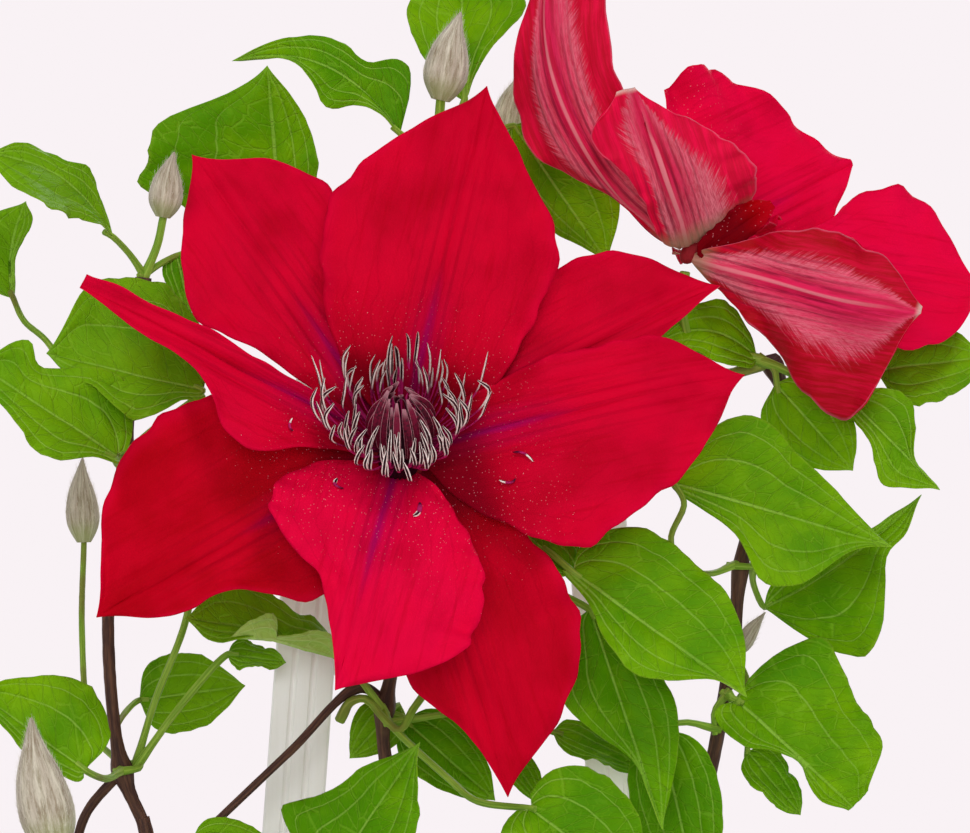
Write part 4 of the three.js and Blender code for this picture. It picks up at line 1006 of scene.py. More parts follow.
SPRAYS["spray_low_middle"] = dict(
    stems=[
        (0.8, ((-15, -10.4, 304.4), (-19.5, -13.4, 310.8), (-24.8, -10.4, 315.7), (-25.5, -10.2, 316))),
        (0.8, (
            (-15, -10.4, 304.4), (-13.4, -12.8, 301.6), (-1.1, -20, 290.5), (4, -25, 286.7),
            (15.1, -34, 285.5),
        )),
        (0.9, (
            (-23.3, -11, 303.3), (-21.7, -12, 306), (-18.6, -12.5, 306.8), (-14.5, -13, 302.5),
            (-11.4, -14, 300.4), (-8.8, -13, 304.5), (-7, -12, 307),
        )),
        (0.7, ((-14, -2.6, 303.6), (-12, 1, 305), (-10.6, 2.4, 301.8), (-10, 2.4, 301.2))),
        (0.7, ((-12.6, -11, 302), (5, -10, 304), (20, -12, 300), (20.8, -12, 299.8))),
        (0.7, ((-14, -2.6, 303.6), (-10.6, -4, 302.6), (-10.6, -8.6, 302.4), (-13.6, -12.6, 301.8))),
    ],
    leaves=[
        blade((-24.8, -10.4, 315.7), (-55, -22, 323.5), (1, 1.5, 1, 1.5, 4, 5, 0), (4, 7, 6, 9, 11.5, 9, 0),
              face=(0, -0.8, 0.6), arch=2),
        blade((15.1, -34, 285.5), (38, -38, 268), face=(0, -0.9, 0.5), half=15, heart=4),
    ],
    small=[
        blade((-10.6, 2.4, 301.8), (8.1, -1, 285.4), half=7.5, face=(0, -1, 0.3)),
        blade((-12, 1, 305), (-22, 1, 294), half=5.5, face=(0, -1, 0.3)),
        blade((20, -12, 300), (38, -8, 292), half=5.5),
        blade((5, -10, 304), (18, -13, 285), half=5),
    ],
)
SPRAYS["spray_low_front"] = dict(
    stems=[(0.9, ((-11.4, -5.6, 272), (-17, -25, 266), (-25.2, -40, 271.4), (-25, -40.4, 272)))],
    leaves=[
        blade((-25.2, -40, 271.4), (-7, -50, 299.6), (6, 16, 12.5, 9, 7, 3.5, 0), (6, 13, 14, 12.5, 9, 5, 0),
              face=(-0.1, -0.9, 0.5)),
    ],
)
SPRAYS["spray_low_side"] = dict(
    stems=[(0.8, ((-52.6, -18.2, 278.3), (-54.4, -19.8, 276.4)))],
    small=[
        blade((-54, -19.4, 276.8), (-36, -21, 276), half=6.5, face=(0, -1, 0.3)),
        blade((-54.2, -19.6, 276.6), (-58, -30, 251), half=8, face=(0, -1, 0.2)),
    ],
)
SPRAYS["spray_top"] = dict(
    stems=[
        (1, ((-4, -6, 415.6), (-4, -7, 418))),
        (0.7, ((-4, -7, 416.4), (-8, -12, 420), (-11.4, -15, 422.7), (-12, -15.2, 423.2))),
        (1.1, ((-4, -7, 417), (-3.6, -14, 422), (-3, -18, 429.2))),
        (0.8, ((-4, -6.6, 417), (-1, -4, 424), (1.8, -5, 429.9), (1.8, -4.6, 430.8))),
        (0.9, ((-4, -6.6, 417), (4, 8, 416), (10, 14.8, 421.3))),
        (0.7, ((-4, -6.6, 417), (5, 1, 422), (12, 6, 425), (12.6, 6, 424.2))),
    ],
    leaves=[
        blade((-11.4, -15, 422.7), (-45.4, -25, 437), (1, 2, 4.5, 9.5, 5, 1, 0.5, 0),
              (13, 11.5, 5.5, 5.5, 6.2, 4.5, 2.5, 0), face=(0, -1, 0.5), bend=7.5),
        blade((1.8, -5, 429.9), (1, 10, 458), (2, 5.5, 8.5, 11, 11.5, 8, 0), (0.5, 2, 5.5, 10, 13.5, 10, 0),
              face=(0, -1, 0.4)),
        blade((12, 6, 425), (31.5, 3, 396.5), (3, 9.5, 11.5, 12, 10.5, 6.5, 0), (3, 7, 8.5, 8.5, 6, 3, 0),
              face=(0, -1, 0.3)),
    ],
    buds=[((-3, -18, 429.8), (0.9, -18, 447.3), 4.4), ((10.2, 15, 422.4), (13.7, 15, 436.6), 3.5)],
)
SPRAYS["spray_middle_right"] = dict(
    stems=[
        (0.9, ((-6.4, -9, 343), (6, -22, 345), (18, -37, 338), (23.5, -41, 333.5), (24.2, -41, 333))),
        (0.8, ((-6.4, -9, 343), (10, -20, 334), (27.3, -30, 325.5), (27.6, -30, 324.8))),
    ],
    leaves=[
        blade((23.5, -41, 333.5), (58.5, -48, 308.5), (6, 15, 17, 16, 14, 9.5, 0),
              (1, 3, 8.5, 11, 7.5, 1.5, 0), face=(0, -0.9, 0.5), heart=4),
        blade((27.3, -30, 325.5), (42, -35, 281), (3, 7, 9.5, 10.5, 8.5, 4.5, 0),
              (4, 8, 11.5, 7.5, 1.5, 0.5, 0), face=(0, -1, 0.3)),
    ],
    small=[blade((23.5, -39.5, 333), (12, -36, 343), half=7)],
)
SPRAYS["spray_right"] = dict(
    stems=[
        (0.7, (
            (57, -6.6, 334), (52.5, -12, 332.5), (46, -20, 334), (43.8, -24, 340), (46.5, -24, 347),
            (44.6, -22, 351),
        )),
        (0.7, ((61.2, -1.8, 333.4), (61.6, 4, 330), (64.2, 10, 325), (64.8, 10, 325.3))),
        (0.6, ((57, -6.6, 334), (60.6, -7.2, 333.8), (62, -4.4, 333.6), (61.2, -1.6, 333.4))),
    ],
    leaves=[
        blade((44, -22, 351.2), (89, -25, 338.2), (3, 15.5, 17.5, 12.5, 8.5, 4, 0),
              (1, 3.5, 7, 15, 13, 3.5, 0), face=(0, -1, 0.2), heart=1),
        blade((64.2, 10, 325), (96.5, 5, 348.5), (1, 5, 6, 4, 2, 1.5, 0), (2, 15.5, 21, 15, 5, 4, 0),
              face=(0, -1, 0.4), bend=2),
    ],
)
SPRAYS["spray_low_right"] = dict(
    stems=[
        (0.7, ((55.6, -9, 307.5), (56.5, -10, 307), (58, -10.5, 306.3))),
        (0.7, ((53.2, -9, 300.6), (47, -12, 302), (41.8, -15, 300.5), (41.9, -15, 299.8))),
        (0.7, ((55.6, -9, 307.5), (53.2, -9.4, 304), (53.2, -9, 300.6))),
        (0.7, ((56.5, -10, 307), (60, -8, 300), (60, -5, 295.4))),
        (0.6, ((58, -10.5, 306.3), (60, -6, 310), (58, -1, 315.2))),
    ],
    leaves=[
        blade((57.5, -10.3, 306.5), (81, -20, 285), (8, 21, 21, 19, 16.5, 15.5, 14, 7),
              (5.5, 7, 7, 3, 0.5, 3, 4.5, 2), face=(0, -0.9, 0.5), heart=3),
        blade((41.8, -15, 300.5), (50, -18, 264), face=(0, -1, 0.3), half=9.5),
    ],
    small=[blade((60, -5, 295.6), (71, -5, 282.6), half=6)],
    buds=[((58, -0.9, 315.9), (63.9, 0, 324.3), 1.8)],
)
SPRAYS["spray_upper_right"] = dict(
    stems=[
        (1.2, ((62, -13.2, 375.3), (55, -14, 373.5), (48, -17, 380), (46, -21, 388), (46.6, -22, 392.9))),
        (0.8, ((62, -13.6, 375.3), (63, -15, 376.4), (61, -15, 377))),
        (0.7, ((63, -15, 376.4), (65.2, -15.8, 374.4), (65.8, -15.4, 370.8))),
        (0.9, (
            (62.8, -15, 376), (65.6, -15.9, 375), (68.6, -13.6, 373.6), (73, -11, 371), (80.7, -15, 368),
            (81.3, -15, 367.4),
        )),
        (0.7, ((73, -11, 371), (80, -4, 370.6), (87, 2, 374.2), (87.8, 2.2, 374.4))),
    ],
    leaves=[
        blade((61.6, -15, 376.8), (40.7, -22, 379.3), face=(0, -1, 0.3), half=6.5, bend=4.5),
        blade((80.7, -15, 368), (98.9, -18, 349.7), (3, 7.5, 9, 6, 1, 0.5, 0), (2, 2.5, 3.5, 6, 8, 4.5, 0),
              face=(0, -1, 0.3)),
    ],
    small=[
        blade((65.5, -15.4, 371.3), (81.5, -11, 353.6), face=(0, -1, 0.2), half=9.5),
        blade((87, 2, 374.2), (110, 8, 377), face=(0, -0.9, 0.5), half=10.5),
    ],
)
SPRAYS["spray_big_bud"] = dict(
    stems=[(1.1, ((-61.3, -10.9, 268), (-72, -38, 262), (-79.2, -54, 270), (-79.7, -55, 277.9)))],
    buds=[((-79.7, -55, 278.2), (-84.7, -55, 304.6), 5.4)],
)
ROLLED_MARGINS = [
    blade((-36.6, -19.5, 319.2), (-45.6, -22.5, 319.9), (4, 5.6, 5.2, 4, 2.2, 0),
          (0.4, 0.4, 0.4, 0.4, 0.4, 0), face=(0, 1, 0.5), heart=0, wave=0.3),
    blade((-37.2, -19.5, 319.2), (-24.4, -14.5, 315.4), (0.4, 0.4, 0.4, 0.4, 0.4, 0),
          (1, 2, 3.2, 4.6, 4.2, 0.5), face=(0, 1, 0.5), heart=0, wave=0.3),
]
SPRAYS["spray_low_middle"]["small"] += ROLLED_MARGINS
BUDS = [bud for spray in SPRAYS.values() for bud in spray.get("buds", [])]
print(len(SPRAYS), "sprays with", len(BUDS), "buds")

# %% The stems' lines
WOOD = {
    "stem_left": (
        dict(
            points=(
                (-64.3, -9, 281.4), (-68.5, -10, 292), (-71.4, -10, 324), (-68, -6, 358), (-64.5, -5, 392),
            ),
            joints=(((-68.5, -10, 292), 2.5), ((-68, -6, 357), 2.1), ((-64.5, -5, 392), 1.9)),
            radius=1.45, tip=0.85,
        ),
        dict(points=((-68.5, -10, 292), (-76, -9, 283), (-79, -8, 272)), radius=1.2, tip=0.8),
    ),
    "stem_middle": (
        dict(
            points=(
                (-12, -3, 281.4), (-15, -6, 300), (-12, -10, 318), (-8, -8, 345), (-5, -5, 372),
                (-2, -4, 396), (-4, -6, 415),
            ),
            joints=(((-14, -6, 305), 2.5), ((-9, -9, 329), 2.2), ((-4, -6, 414), 1.9)),
            radius=1.45, tip=0.85,
        ),
        dict(
            points=((-14, -7, 306), (-20, -10, 309), (-34, -14, 296), (-52, -18, 279)),
            radius=0.95, joints=(((-20, -10, 308), 1.4),), tip=0.9,
        ),
    ),
    "stem_right": (
        dict(
            points=(
                (50.3, -5, 281.4), (54, -7, 300), (57, -6, 318), (59.5, -4, 338), (66, -4, 357),
                (67.5, -8, 368), (64.9, -12, 375.5),
            ),
            joints=(((57, -6, 318), 1.9), ((57.5, -6, 333), 2.0), ((65, -12, 375), 2.4)),
            radius=1.45, tip=0.9,
        ),
    ),
}
BLOOM_STALK = dict(
    points=((-9, -9, 328), (-9, -16, 336), (-10, -30, 350), (-10.6, -43.8, 357.4)),
    radius=1.25, joints=(((-9, -9, 328), 1.9),), tip=1.1,
)
# A leaf pair is its share of the stem, its lean to the right, its size and rise, and how many
# leaflets its front and its back leaf have.
LOW_STEMS = {
    "leafy_stem_left": dict(
        line=(
            (-14, 1, 96), (-14, 1, 124), (-17, 0, 146), (-27, -3, 176), (-44, -6, 214), (-56, -8, 250),
            (-64, -9, 281),
        ),
        pairs=((0.4, -0.5, 0.8, 10, 1, 1), (0.5, -0.35, 1, 12, 3, 3), (0.75, -0.7, 1, 9, 3, 1)), seed=13,
    ),
    "leafy_stem_middle": dict(
        line=((1, -3, 96), (1, -3, 124), (0, -3, 150), (-3, -4, 190), (-8, -3, 236), (-12, -3, 281)),
        pairs=((0.25, 0.1, 0.8, 12, 3, 1), (0.75, -0.1, 1, 12, 3, 3)), seed=23,
    ),
    "leafy_stem_right": dict(
        line=(
            (15, 1, 96), (15, 1, 124), (18, 0, 146), (27, -2, 180), (37, -3, 220), (45, -4, 252),
            (50, -5, 281),
        ),
        pairs=((0.4, 0.5, 0.8, 10, 1, 1), (0.53, 0.35, 1, 12, 3, 3), (0.76, 0.7, 1, 9, 3, 1)), seed=37,
    ),
}
print("stems", list(WOOD) + list(LOW_STEMS))

# %% [markdown]
# ## The big bloom and the bloom behind
#
# Eight tepals in two layers make the front bloom; the bloom behind turns its back, so that its
# tepals show their felted undersides. Each tepal has a tone from deep crimson at 0 to a cool bright
# red at 1, which is partly its own colour and partly painted light: tepals that catch the light are
# given brighter tones, shaded ones deeper tones. A dark fold stands at the heart of the bloom behind.

# %% Tepals
# Tones: each tepal's own colour and painted light together, brighter where a tepal catches the light.
FRONT_TONES_AND_LIGHT = (0.42, 0.4, 0.25, 0.15, 0.36, 0.42, 0.76, 0.5)
BACK_TONES_AND_LIGHT = (0.6, 1.0, 0.92, 0.95, 0.1, 0.6, 0.0)
TEPAL_WAYS = dict(frill=0.8, swell=1.25, notch=0.014, round=0.1)
TEPAL_THICKNESS = 0.7
front_blades = [{**TEPAL_WAYS, **FRONT_WAYS, **numbers} for numbers in FRONT_TEPALS]
back_blades = [{**TEPAL_WAYS, **numbers} for numbers in BACK_TEPALS + [INNER_FOLD]]


def tepals(bloom, blades, tones_and_light, rows):
    """A bloom's tepals as one settled piece; gives their meshes back."""
    toned_and_lit = [{**numbers, "tone_and_light": tone_and_light} for numbers, tone_and_light in zip(blades, tones_and_light)]
    meshes = [blade_mesh(one, rows, TEPAL_COLUMNS, TEPAL_THICKNESS, tepal_relief) for one in toned_and_lit]
    settle(joined_blades(bloom + "_petals", meshes, *tepal_skins), "tepal", bloom + "_tepals")
    return meshes


front_meshes = tepals("front_bloom", front_blades, FRONT_TONES_AND_LIGHT, 72)
tepals("back_bloom", back_blades, BACK_TONES_AND_LIGHT, 62)

# %% [markdown]
# ## The crown
#
# The crown of a clematis grows in zones. Broad wine-red ribbons stand in the middle and lean
# together into a dome. Round them the outer stamens bow out and up: each is a thin wine-coloured
# thread below and a flat anther above, dark along its middle and cream along both rims. Ribbons and
# threads are painted nearly black near their feet, and the heart they stand on is painted nearly
# black too: both are painted shade deep in the crown. A stamen's line is drawn from heights and
# reaches at five shares of its length, so a zone is one list of reaches. The oldest anthers have
# already dropped and lie on the tepals. The bloom behind has a smaller crown, mostly hidden.


# %% Crowns of stamens
GOLDEN_ANGLE = 2.39996
HEIGHTS = (0, 0.22, 0.46, 0.76, 1)
RIBBON = (0.8, 0.62, 0.62, 0.85, 0.95, 0.85, 0.3)
RIBBON_STEPS = 15


class Crown:
    """Draws the lines of a crown on a seat with an axis and an upward side."""

    def __init__(self, seat, axis, up, seed):
        self.seat = np.asarray(seat, float)
        self.n = unit(axis)
        self.s = unit(np.cross(up, self.n))
        self.t = np.cross(self.n, self.s)
        self.draw = draws(seed)

    def zone(self, count, first, reaches, reach, height, foot, width, front=1.0, low=1.0):
        """Lines of one zone; front and low shrink the reach and the height of the near side.

        On the far side a line stands steeper, because the tepals are close behind it there."""
        draw = self.draw
        shares = np.arange(RIBBON_STEPS + 1) / RIBBON_STEPS
        lines = []
        for i in range(first, first + count):
            angle = i * GOLDEN_ANGLE + 0.35 * (draw() - 0.5)
            aim = self.s * math.cos(angle) + self.t * math.sin(angle)
            near = np.clip(-math.sin(angle) * 1.6 + 0.5, 0, 1)
            behind = np.clip(math.sin(angle) * 1.6 - 0.2, 0, 1)
            far = reach * (0.78 + 0.4 * draw()) * (1 + (front - 1) * near) * (1 - 0.3 * behind)
            high = height * (0.85 + 0.3 * draw()) * (1 + (low - 1) * near) * (1 - 0.02 * behind)
            sway = np.cross(self.n, aim) * (draw() - 0.5) * 3.4
            curl = 0.8 + 0.4 * draw()
            start = self.seat + aim * foot * (0.8 + 0.3 * draw())
            outs = [*reaches[:-1], reaches[-1] * curl]
            shape = zip(HEIGHTS, outs)
            path = [start + self.n * high * up + aim * far * out + sway * up * up for up, out in shape]
            wide = width * (0.85 + 0.25 * draw())
            lines.append(([smooth_line(path, share) for share in shares], wide * through(RIBBON, shares)))
        return lines


def turned_line(centre, axis, radius, low, high, steps=12):
    """A line whose swept skin is a flattened ball."""
    angle = np.linspace(0, math.pi, steps)
    points = [centre + unit(axis) * (low + (high - low) * (1 - math.cos(a)) / 2) for a in angle]
    return points, [max(radius * math.sin(a), 0.05) for a in angle]


BLOOM_CENTRE = np.array((-10.6, -48, 358.0))
BACK_BLOOM_CENTRE = np.array((47.4, -22, 397.6))
BACK_FACE = (0.6, 0.2, 0.77)
seat, axis = BLOOM_CENTRE + (-0.4, -7.1, 0.2), (0, -0.72, 0.69)
back_seat = BACK_BLOOM_CENTRE + (5.6, 3.6, 6.2)
crown = Crown(seat, axis, (0, 0.69, 0.72), 5)
dome = crown.zone(24, 0, (0, 0.85, 1, 0.74, 0.12), reach=5.1, height=15.5, foot=1.6, width=0.72)
outer = crown.zone(26, 24, (0, 0.74, 1, 0.96, 0.76), 8.6, 17, foot=3.0, width=0.45, front=0.78, low=0.72)
outer += crown.zone(46, 50, (0, 0.6, 0.9, 1, 0.94), 15, 17, foot=4.2, width=0.46, front=0.44, low=0.6)
outer += crown.zone(24, 96, (0, 0.7, 1, 0.98, 0.86), 11.6, 14, foot=3.8, width=0.48, front=0.62, low=0.7)
back_crown = Crown(back_seat, BACK_FACE, (0, 0, 1), 9)
back_lines = back_crown.zone(34, 0, (0, 0.6, 0.9, 1, 0.9), reach=3.6, height=5.6, foot=2.0, width=0.42)
print("stamens and styles", len(dome) + len(outer) + len(back_lines))

# %% Fallen anthers
# Each lies on one tepal at the shares u and v, turned by an angle, with a length.
FALLEN = (
    (6, 0.2, -0.42, 0.5, 3.6), (6, 0.17, 0.5, 2.2, 3.8), (2, 0.2, -0.3, 0.2, 3.4), (2, 0.25, 0.1, 2.6, 4.0),
    (5, 0.3, 0.28, 0.6, 4.2), (5, 0.24, 0.5, 2.8, 3.4), (7, 0.28, -0.5, 1.2, 3.2),
)
for place, u, v, turn, length in FALLEN:
    under = front_blades[place]
    share = np.linspace(-1, 1, 9)
    bow = 0.35 * (1 - share**2)
    size = np.linalg.norm(np.subtract(under["tip"], under["base"]))
    _, half = blade_surface(under, np.array([u]), np.array([v]))
    on_u = u + (share * math.cos(turn) + bow * math.sin(turn)) * length / 2 / size
    on_v = v + (share * math.sin(turn) - bow * math.cos(turn)) * length / 2 / half[0]
    points, _ = blade_surface(under, on_u, on_v)
    outer.append((points + (0, -0.75, 0), 0.5 * (1 - 0.6 * share**4)))
print("fallen anthers", len(FALLEN))

# %% Grow the crowns
FRONT_CROWN, BACK_CROWN = "front_bloom_stamens", "back_bloom_stamens"
swept("front_bloom_crown", outer, stamen_ribbon, "stamen", FRONT_CROWN, ribs=0.0, flat=0.5)
swept("front_bloom_dome", dome, style_silk, "stamen", FRONT_CROWN, ribs=0.0, flat=0.4)
swept("back_bloom_crown", back_lines, stamen_ribbon, "stamen", BACK_CROWN, ribs=0.0, flat=0.5)
# The hearts are painted near-black as shade deep in each crown.
hearts = [turned_line(seat, axis, 4.5, -7.0, 2.2), turned_line(back_seat, BACK_FACE, 3.6, -3.0, 2.0)]
swept("crown_hearts", hearts, crown_heart, "stamen", FRONT_CROWN, BACK_CROWN, ring=40, ribs=0.2)
knobs = [
    turned_line(BLOOM_CENTRE + (0, 0.5, 0), (0, 1, 0), 6.5, -3.2, 3.4),
    turned_line(BACK_BLOOM_CENTRE, BACK_FACE, 1.9, -2.0, 3.6),
]
hidden = ("front_bloom_tepals", "back_bloom_tepals")
swept("bloom_knobs", knobs, bloom_seat, "tepal", *hidden, ring=24, ribs=0.05)

# %% [markdown]
# ## Woody stems
#
# The old stems are brown and ribbed and about 3 millimetres thick, and they swell at each joint,
# where the leaf stalks leave in pairs. They are lines with radii, so a joint is a short rise of
# the radius. Each line runs a little past its ends, into what it grows from or carries.


# %% Wood
PAST_END = STEP = 1.3
JOINT_REACH = 3.2


def wood_line(points, radius, joints=(), tip=1.0):
    """A stem's close points and radii, thicker near each joint and thinner towards its tip."""
    path = line_points(points, STEP)
    path.insert(0, path[0] - unit(path[1] - path[0]) * PAST_END)
    path.append(path[-1] + unit(path[-1] - path[-2]) * PAST_END)
    draw = draws(int(points[0][2] * 3) + len(points))
    radii = []
    for k, p in enumerate(path):
        r = radius * (1 + (tip - 1) * k / (len(path) - 1)) * (1 + 0.06 * (draw() - 0.5))
        for centre, swollen in joints:
            near = np.linalg.norm(p - centre) / JOINT_REACH
            r += max(swollen - r, 0) * math.exp(-near * near)
        radii.append(r)
    return path, radii


for node, lines in WOOD.items():
    swept(node + "_wood", [wood_line(**line) for line in lines], bark, "brown_stem", node, ring=12)
swept("bloom_stalk", [wood_line(**BLOOM_STALK)], green_stalk, "brown_stem", "stem_middle", ring=12, ribs=0.1)

# %% [markdown]
# ## Sprays
#
# Each spray becomes one object of blades and one of stalks. One leaf below the big bloom rolls
# its lower margin over, so the pale underside shows in two short flaps.

# %% Grow the sprays
LEAF_WAYS = dict(frill=0.35, swell=0.5, notch=0.006, fold=0.18)
LEAF_THICKNESS = 0.45


def leaves(node, blades):
    """A node's leaf piece; blades are pairs of a blade's numbers and the rows of its grid."""
    ways = [({**LEAF_WAYS, **numbers}, rows) for numbers, rows in blades]
    meshes = [blade_mesh(numbers, rows, LEAF_COLUMNS, LEAF_THICKNESS, leaf_relief) for numbers, rows in ways]
    if meshes:
        settle(joined_blades(node + "_leaves", meshes, *leaf_skins), "leaf", node)


for node, spray in SPRAYS.items():
    blades = [(dict(wave=1, waves=2) | numbers, 36) for numbers in spray.get("leaves", [])]
    blades += [(dict(wave=0.8, waves=1.5) | numbers, 26) for numbers in spray.get("small", [])]
    leaves(node, blades)
    stalks = [wood_line(line, r * 1.02, [(line[0], r * 1.35)], 0.92) for r, line in spray["stems"]]
    swept(node + "_stalks", stalks, green_stalk, "leaf", node, ring=10)

# %% [markdown]
# ## Lower stems with their leaf pairs
#
# Below the blooms each stem carries pairs of leaves. A clematis leaf is a long stalk
# that ends in one blade or in three leaflets on short stalks of their own.


# %% Leaf pairs
def side_leaf(start, out, size, draw, rise, leaflets):
    """The lines and blades of one leaf."""
    side = unit(np.cross(out, (0, 0, 1)))
    reach = 24 * size + 6 * draw()
    hub = start + out * reach + (0, 0, rise)
    middle = start + out * reach * 0.45 + (0, 0, rise * 0.75)
    lines = [wood_line([start, middle, hub], 0.8, [(start, 1.4), (hub, 1.0)], 0.9)]
    swing = 0.35 * (draw() - 0.5)
    blades = []
    for turn in (0, -1, 1) if leaflets == 3 else (0,):
        angle = turn * (1.25 + 0.2 * draw()) + swing
        aim = unit(out * math.cos(angle) + side * math.sin(angle))
        length = (58 if turn == 0 else 48) * size * (0.92 + 0.16 * draw())
        drop = length * (0.24 + 0.18 * draw())
        numbers = blade(
            hub - aim * 0.4, hub + aim * length * 0.92 - (0, 0, drop), face=out * 0.25 + (0, 0, 1),
            half=length * 0.28, stalk=0.2, heart=3, fold=0.18, arch=0.09 * length, wave=1.2, waves=1.5,
            phase=draw(),
        )
        blades.append((numbers, 28))
        share = np.linspace(0, 0.23, 9)
        lines.append((blade_surface(numbers, share, share * 0)[0], np.full(9, 0.5)))
    return lines, blades


for node, low in LOW_STEMS.items():
    draw = draws(low["seed"])
    stalks, blades = [], []
    joints = [smooth_line(low["line"], share) for share, *_ in low["pairs"]]
    for at, (_, lean, size, rise, *leaflets) in zip(joints, low["pairs"]):
        for hand, count in zip((-1, 1), leaflets):
            more = side_leaf(at, unit((lean, hand, 0)), size, draw, rise, count)
            stalks += more[0]
            blades += more[1]
    line = wood_line(low["line"], 1.95, [(at, 2.7) for at in joints], 0.8)
    swept(node + "_wood", [line], bark, "brown_stem", node, ring=14)
    swept(node + "_stalks", stalks, green_stalk, "leaf", node)
    leaves(node, blades)

# %% [markdown]
# ## Buds
#
# A closed bud is four sepals folded edge to edge: a spindle with eight soft ridges, silver
# with short hairs that lie towards the tip.


# %% Buds
BUD_WIDTHS = (0.42, 0.72, 0.93, 1.0, 0.98, 0.9, 0.78, 0.6, 0.4, 0.22, 0.05)
BUD_STEPS = 26
IN_STALK = -0.03
for number, (base, tip, radius) in enumerate(BUDS, 1):
    axis = np.subtract(tip, base)
    sway = unit(np.cross(axis, (0, 1, 0))) * radius * 0.16
    points = [base + axis * s + sway * math.sin(3.4 * s) * s for s in np.linspace(IN_STALK, 1, BUD_STEPS)]
    radii = np.maximum(radius * 1.04 * through(BUD_WIDTHS, np.linspace(0, 1, BUD_STEPS)), 0.06)
    node = f"bud_{number}"
    swept(node + "_silk", [(points, radii)], bud_silk, "bud", node, ring=16, ribs=0.09)

# %% [markdown]
# ## Grains and hairs by Geometry Nodes
#
# Potting compost is a litter of crumbs with a few white grains of perlite, pollen lies on the
# tepals round the crown, and a bud is furred with short hairs that lie towards its tip. Crumbs,
# grains and hairs are one small shape each, repeated hundreds of times on a surface, with a random
# size and turn. Two trees do it: one scatters grains, the other plants hairs that lean along a
# given direction. Their inputs are the density, the sizes and a fixed seed.


# %% The scattering trees
def spots(maker, given, **chosen):
    inputs = {"Mesh": given["Geometry"], "Density": given["Density"], "Seed": given["Seed"], **chosen}
    return maker.add("GeometryNodeDistributePointsOnFaces", {}, inputs)


def planted(maker, given, points, shape, turn, size):
    inputs = {"Points": points, "Instance": shape, "Rotation": turn, "Scale": size}
    return close_tree(maker, given, maker.add("GeometryNodeInstanceOnPoints", {}, inputs))


def scatter_tree():
    sizes = {"Density": 1.0, "Smallest": 0.001, "Largest": 0.002, "Lowest": -1.0, "Seed": 1}
    maker, given = new_tree("scattered_grains", sizes)
    height = maker.split(maker.add("GeometryNodeInputPosition"))["Z"]
    points = spots(maker, given, Selection=height.maths("GREATER_THAN", given["Lowest"]))
    grain = maker.add("GeometryNodeMeshIcoSphere", {}, {"Radius": 1.0, "Subdivisions": 1})
    turn = random_value(maker, (0, 0, 0), (6.28, 6.28, 6.28), 7, "FLOAT_VECTOR")
    shape = random_value(maker, (0.6, 0.6, 0.45), (1.0, 1.0, 0.8), 8, "FLOAT_VECTOR")
    size = random_value(maker, given["Smallest"], given["Largest"], 9)
    return planted(maker, given, points, grain, turn, maker.scaled(shape, size))


def hair_tree():
    sizes = {"Density": 1.0, "Length": 0.002, "Thickness": 0.00005, "Lie x": 0.0, "Lie y": 0.0, "Lie z": 1.0}
    maker, given = new_tree("lying_hairs", {**sizes, "Seed": 1})
    points = spots(maker, given)
    cone = {"Vertices": 3, "Radius Top": 0.0, "Radius Bottom": given["Thickness"], "Depth": given["Length"]}
    hair = maker.add("GeometryNodeMeshCone", {"fill_type": "TRIANGLE_FAN"}, cone)
    along = maker.join(given["Lie x"], given["Lie y"], given["Lie z"])
    stray = random_value(maker, (-0.12, -0.12, -0.12), (0.12, 0.12, 0.12), 5, "FLOAT_VECTOR")
    lean = maker.vectors("ADD", maker.vectors("ADD", along, maker.scaled(points["Normal"], 0.3)), stray)
    turn = maker.add("FunctionNodeAlignRotationToVector", {"axis": "Z"}, {"Vector": lean})
    return planted(maker, given, points, hair, turn, random_value(maker, 0.6, 1.1, 6))


scatter, lying_hairs = scatter_tree(), hair_tree()
print("scattering trees", len(scatter.nodes), "and", len(lying_hairs.nodes), "nodes")


# %% Pollen on the tepals and hairs on the buds
POLLEN_REACH = 30
pollen = flecked_finish("pollen_grain", (222, 96, 116), (236, 176, 180), 0.5)
silver_hair = flecked_finish("silver_hair", (196, 190, 172), (232, 228, 212), 0.4)
bed_points, bed_faces = [], []
for mesh in front_meshes:
    from_base = mesh["numbers"]["along"] * mesh["numbers"]["length_mm"]
    near = from_base[mesh["faces"]].max(axis=1) < POLLEN_REACH
    bed_faces += (mesh["faces"][(mesh["skins"] == UPPER) & near] + len(bed_points)).tolist()
    bed_points += (mesh["points"] * MM).tolist()
bed = plain_mesh("pollen_bed", bed_points, bed_faces)
dust = grow(bed, scatter, "pollen_dust", pollen, Density=45000.0, Smallest=0.00005, Largest=0.00012, Seed=3)
bpy.data.objects.remove(bed)
settle(dust, "stamen")

HAIRS = dict(Density=2400000.0, Length=1.5 * MM, Thickness=0.035 * MM)
for number, (base, tip, _) in enumerate(BUDS, 1):
    skin = bpy.data.objects[f"bud_{number}_silk"]
    lie = dict(zip(("Lie_x", "Lie_y", "Lie_z"), unit(np.subtract(tip, base)).tolist()))
    fur = grow(skin, lying_hairs, f"bud_{number}_hairs", silver_hair, Seed=10 + number, **HAIRS, **lie)
    settle(fur, "bud")

# %% [markdown]
# ## Pot
#
# A nursery pot is injection-moulded in soft black plastic: a thin wall that leans out, a step
# where it widens, a rolled rim, and drain holes in its bottom. Turning one profile gives
# the wall. The bottom is a disc with six round holes, laid out as rings of faces round each
# hole, so that nothing has to be cut. The finish is a dull charcoal with faint rings from the
# mould, paler where hands have rubbed it, with splashes and dust low down.


# %% Turned walls and holed discs
SIDES = 96
HUB, BAND_IN, BAND_OUT = 12, 30, 46
HOLES, HOLE_RING, HOLE_RADIUS, HOLE_COLLAR = 6, 38, 4.4, 6


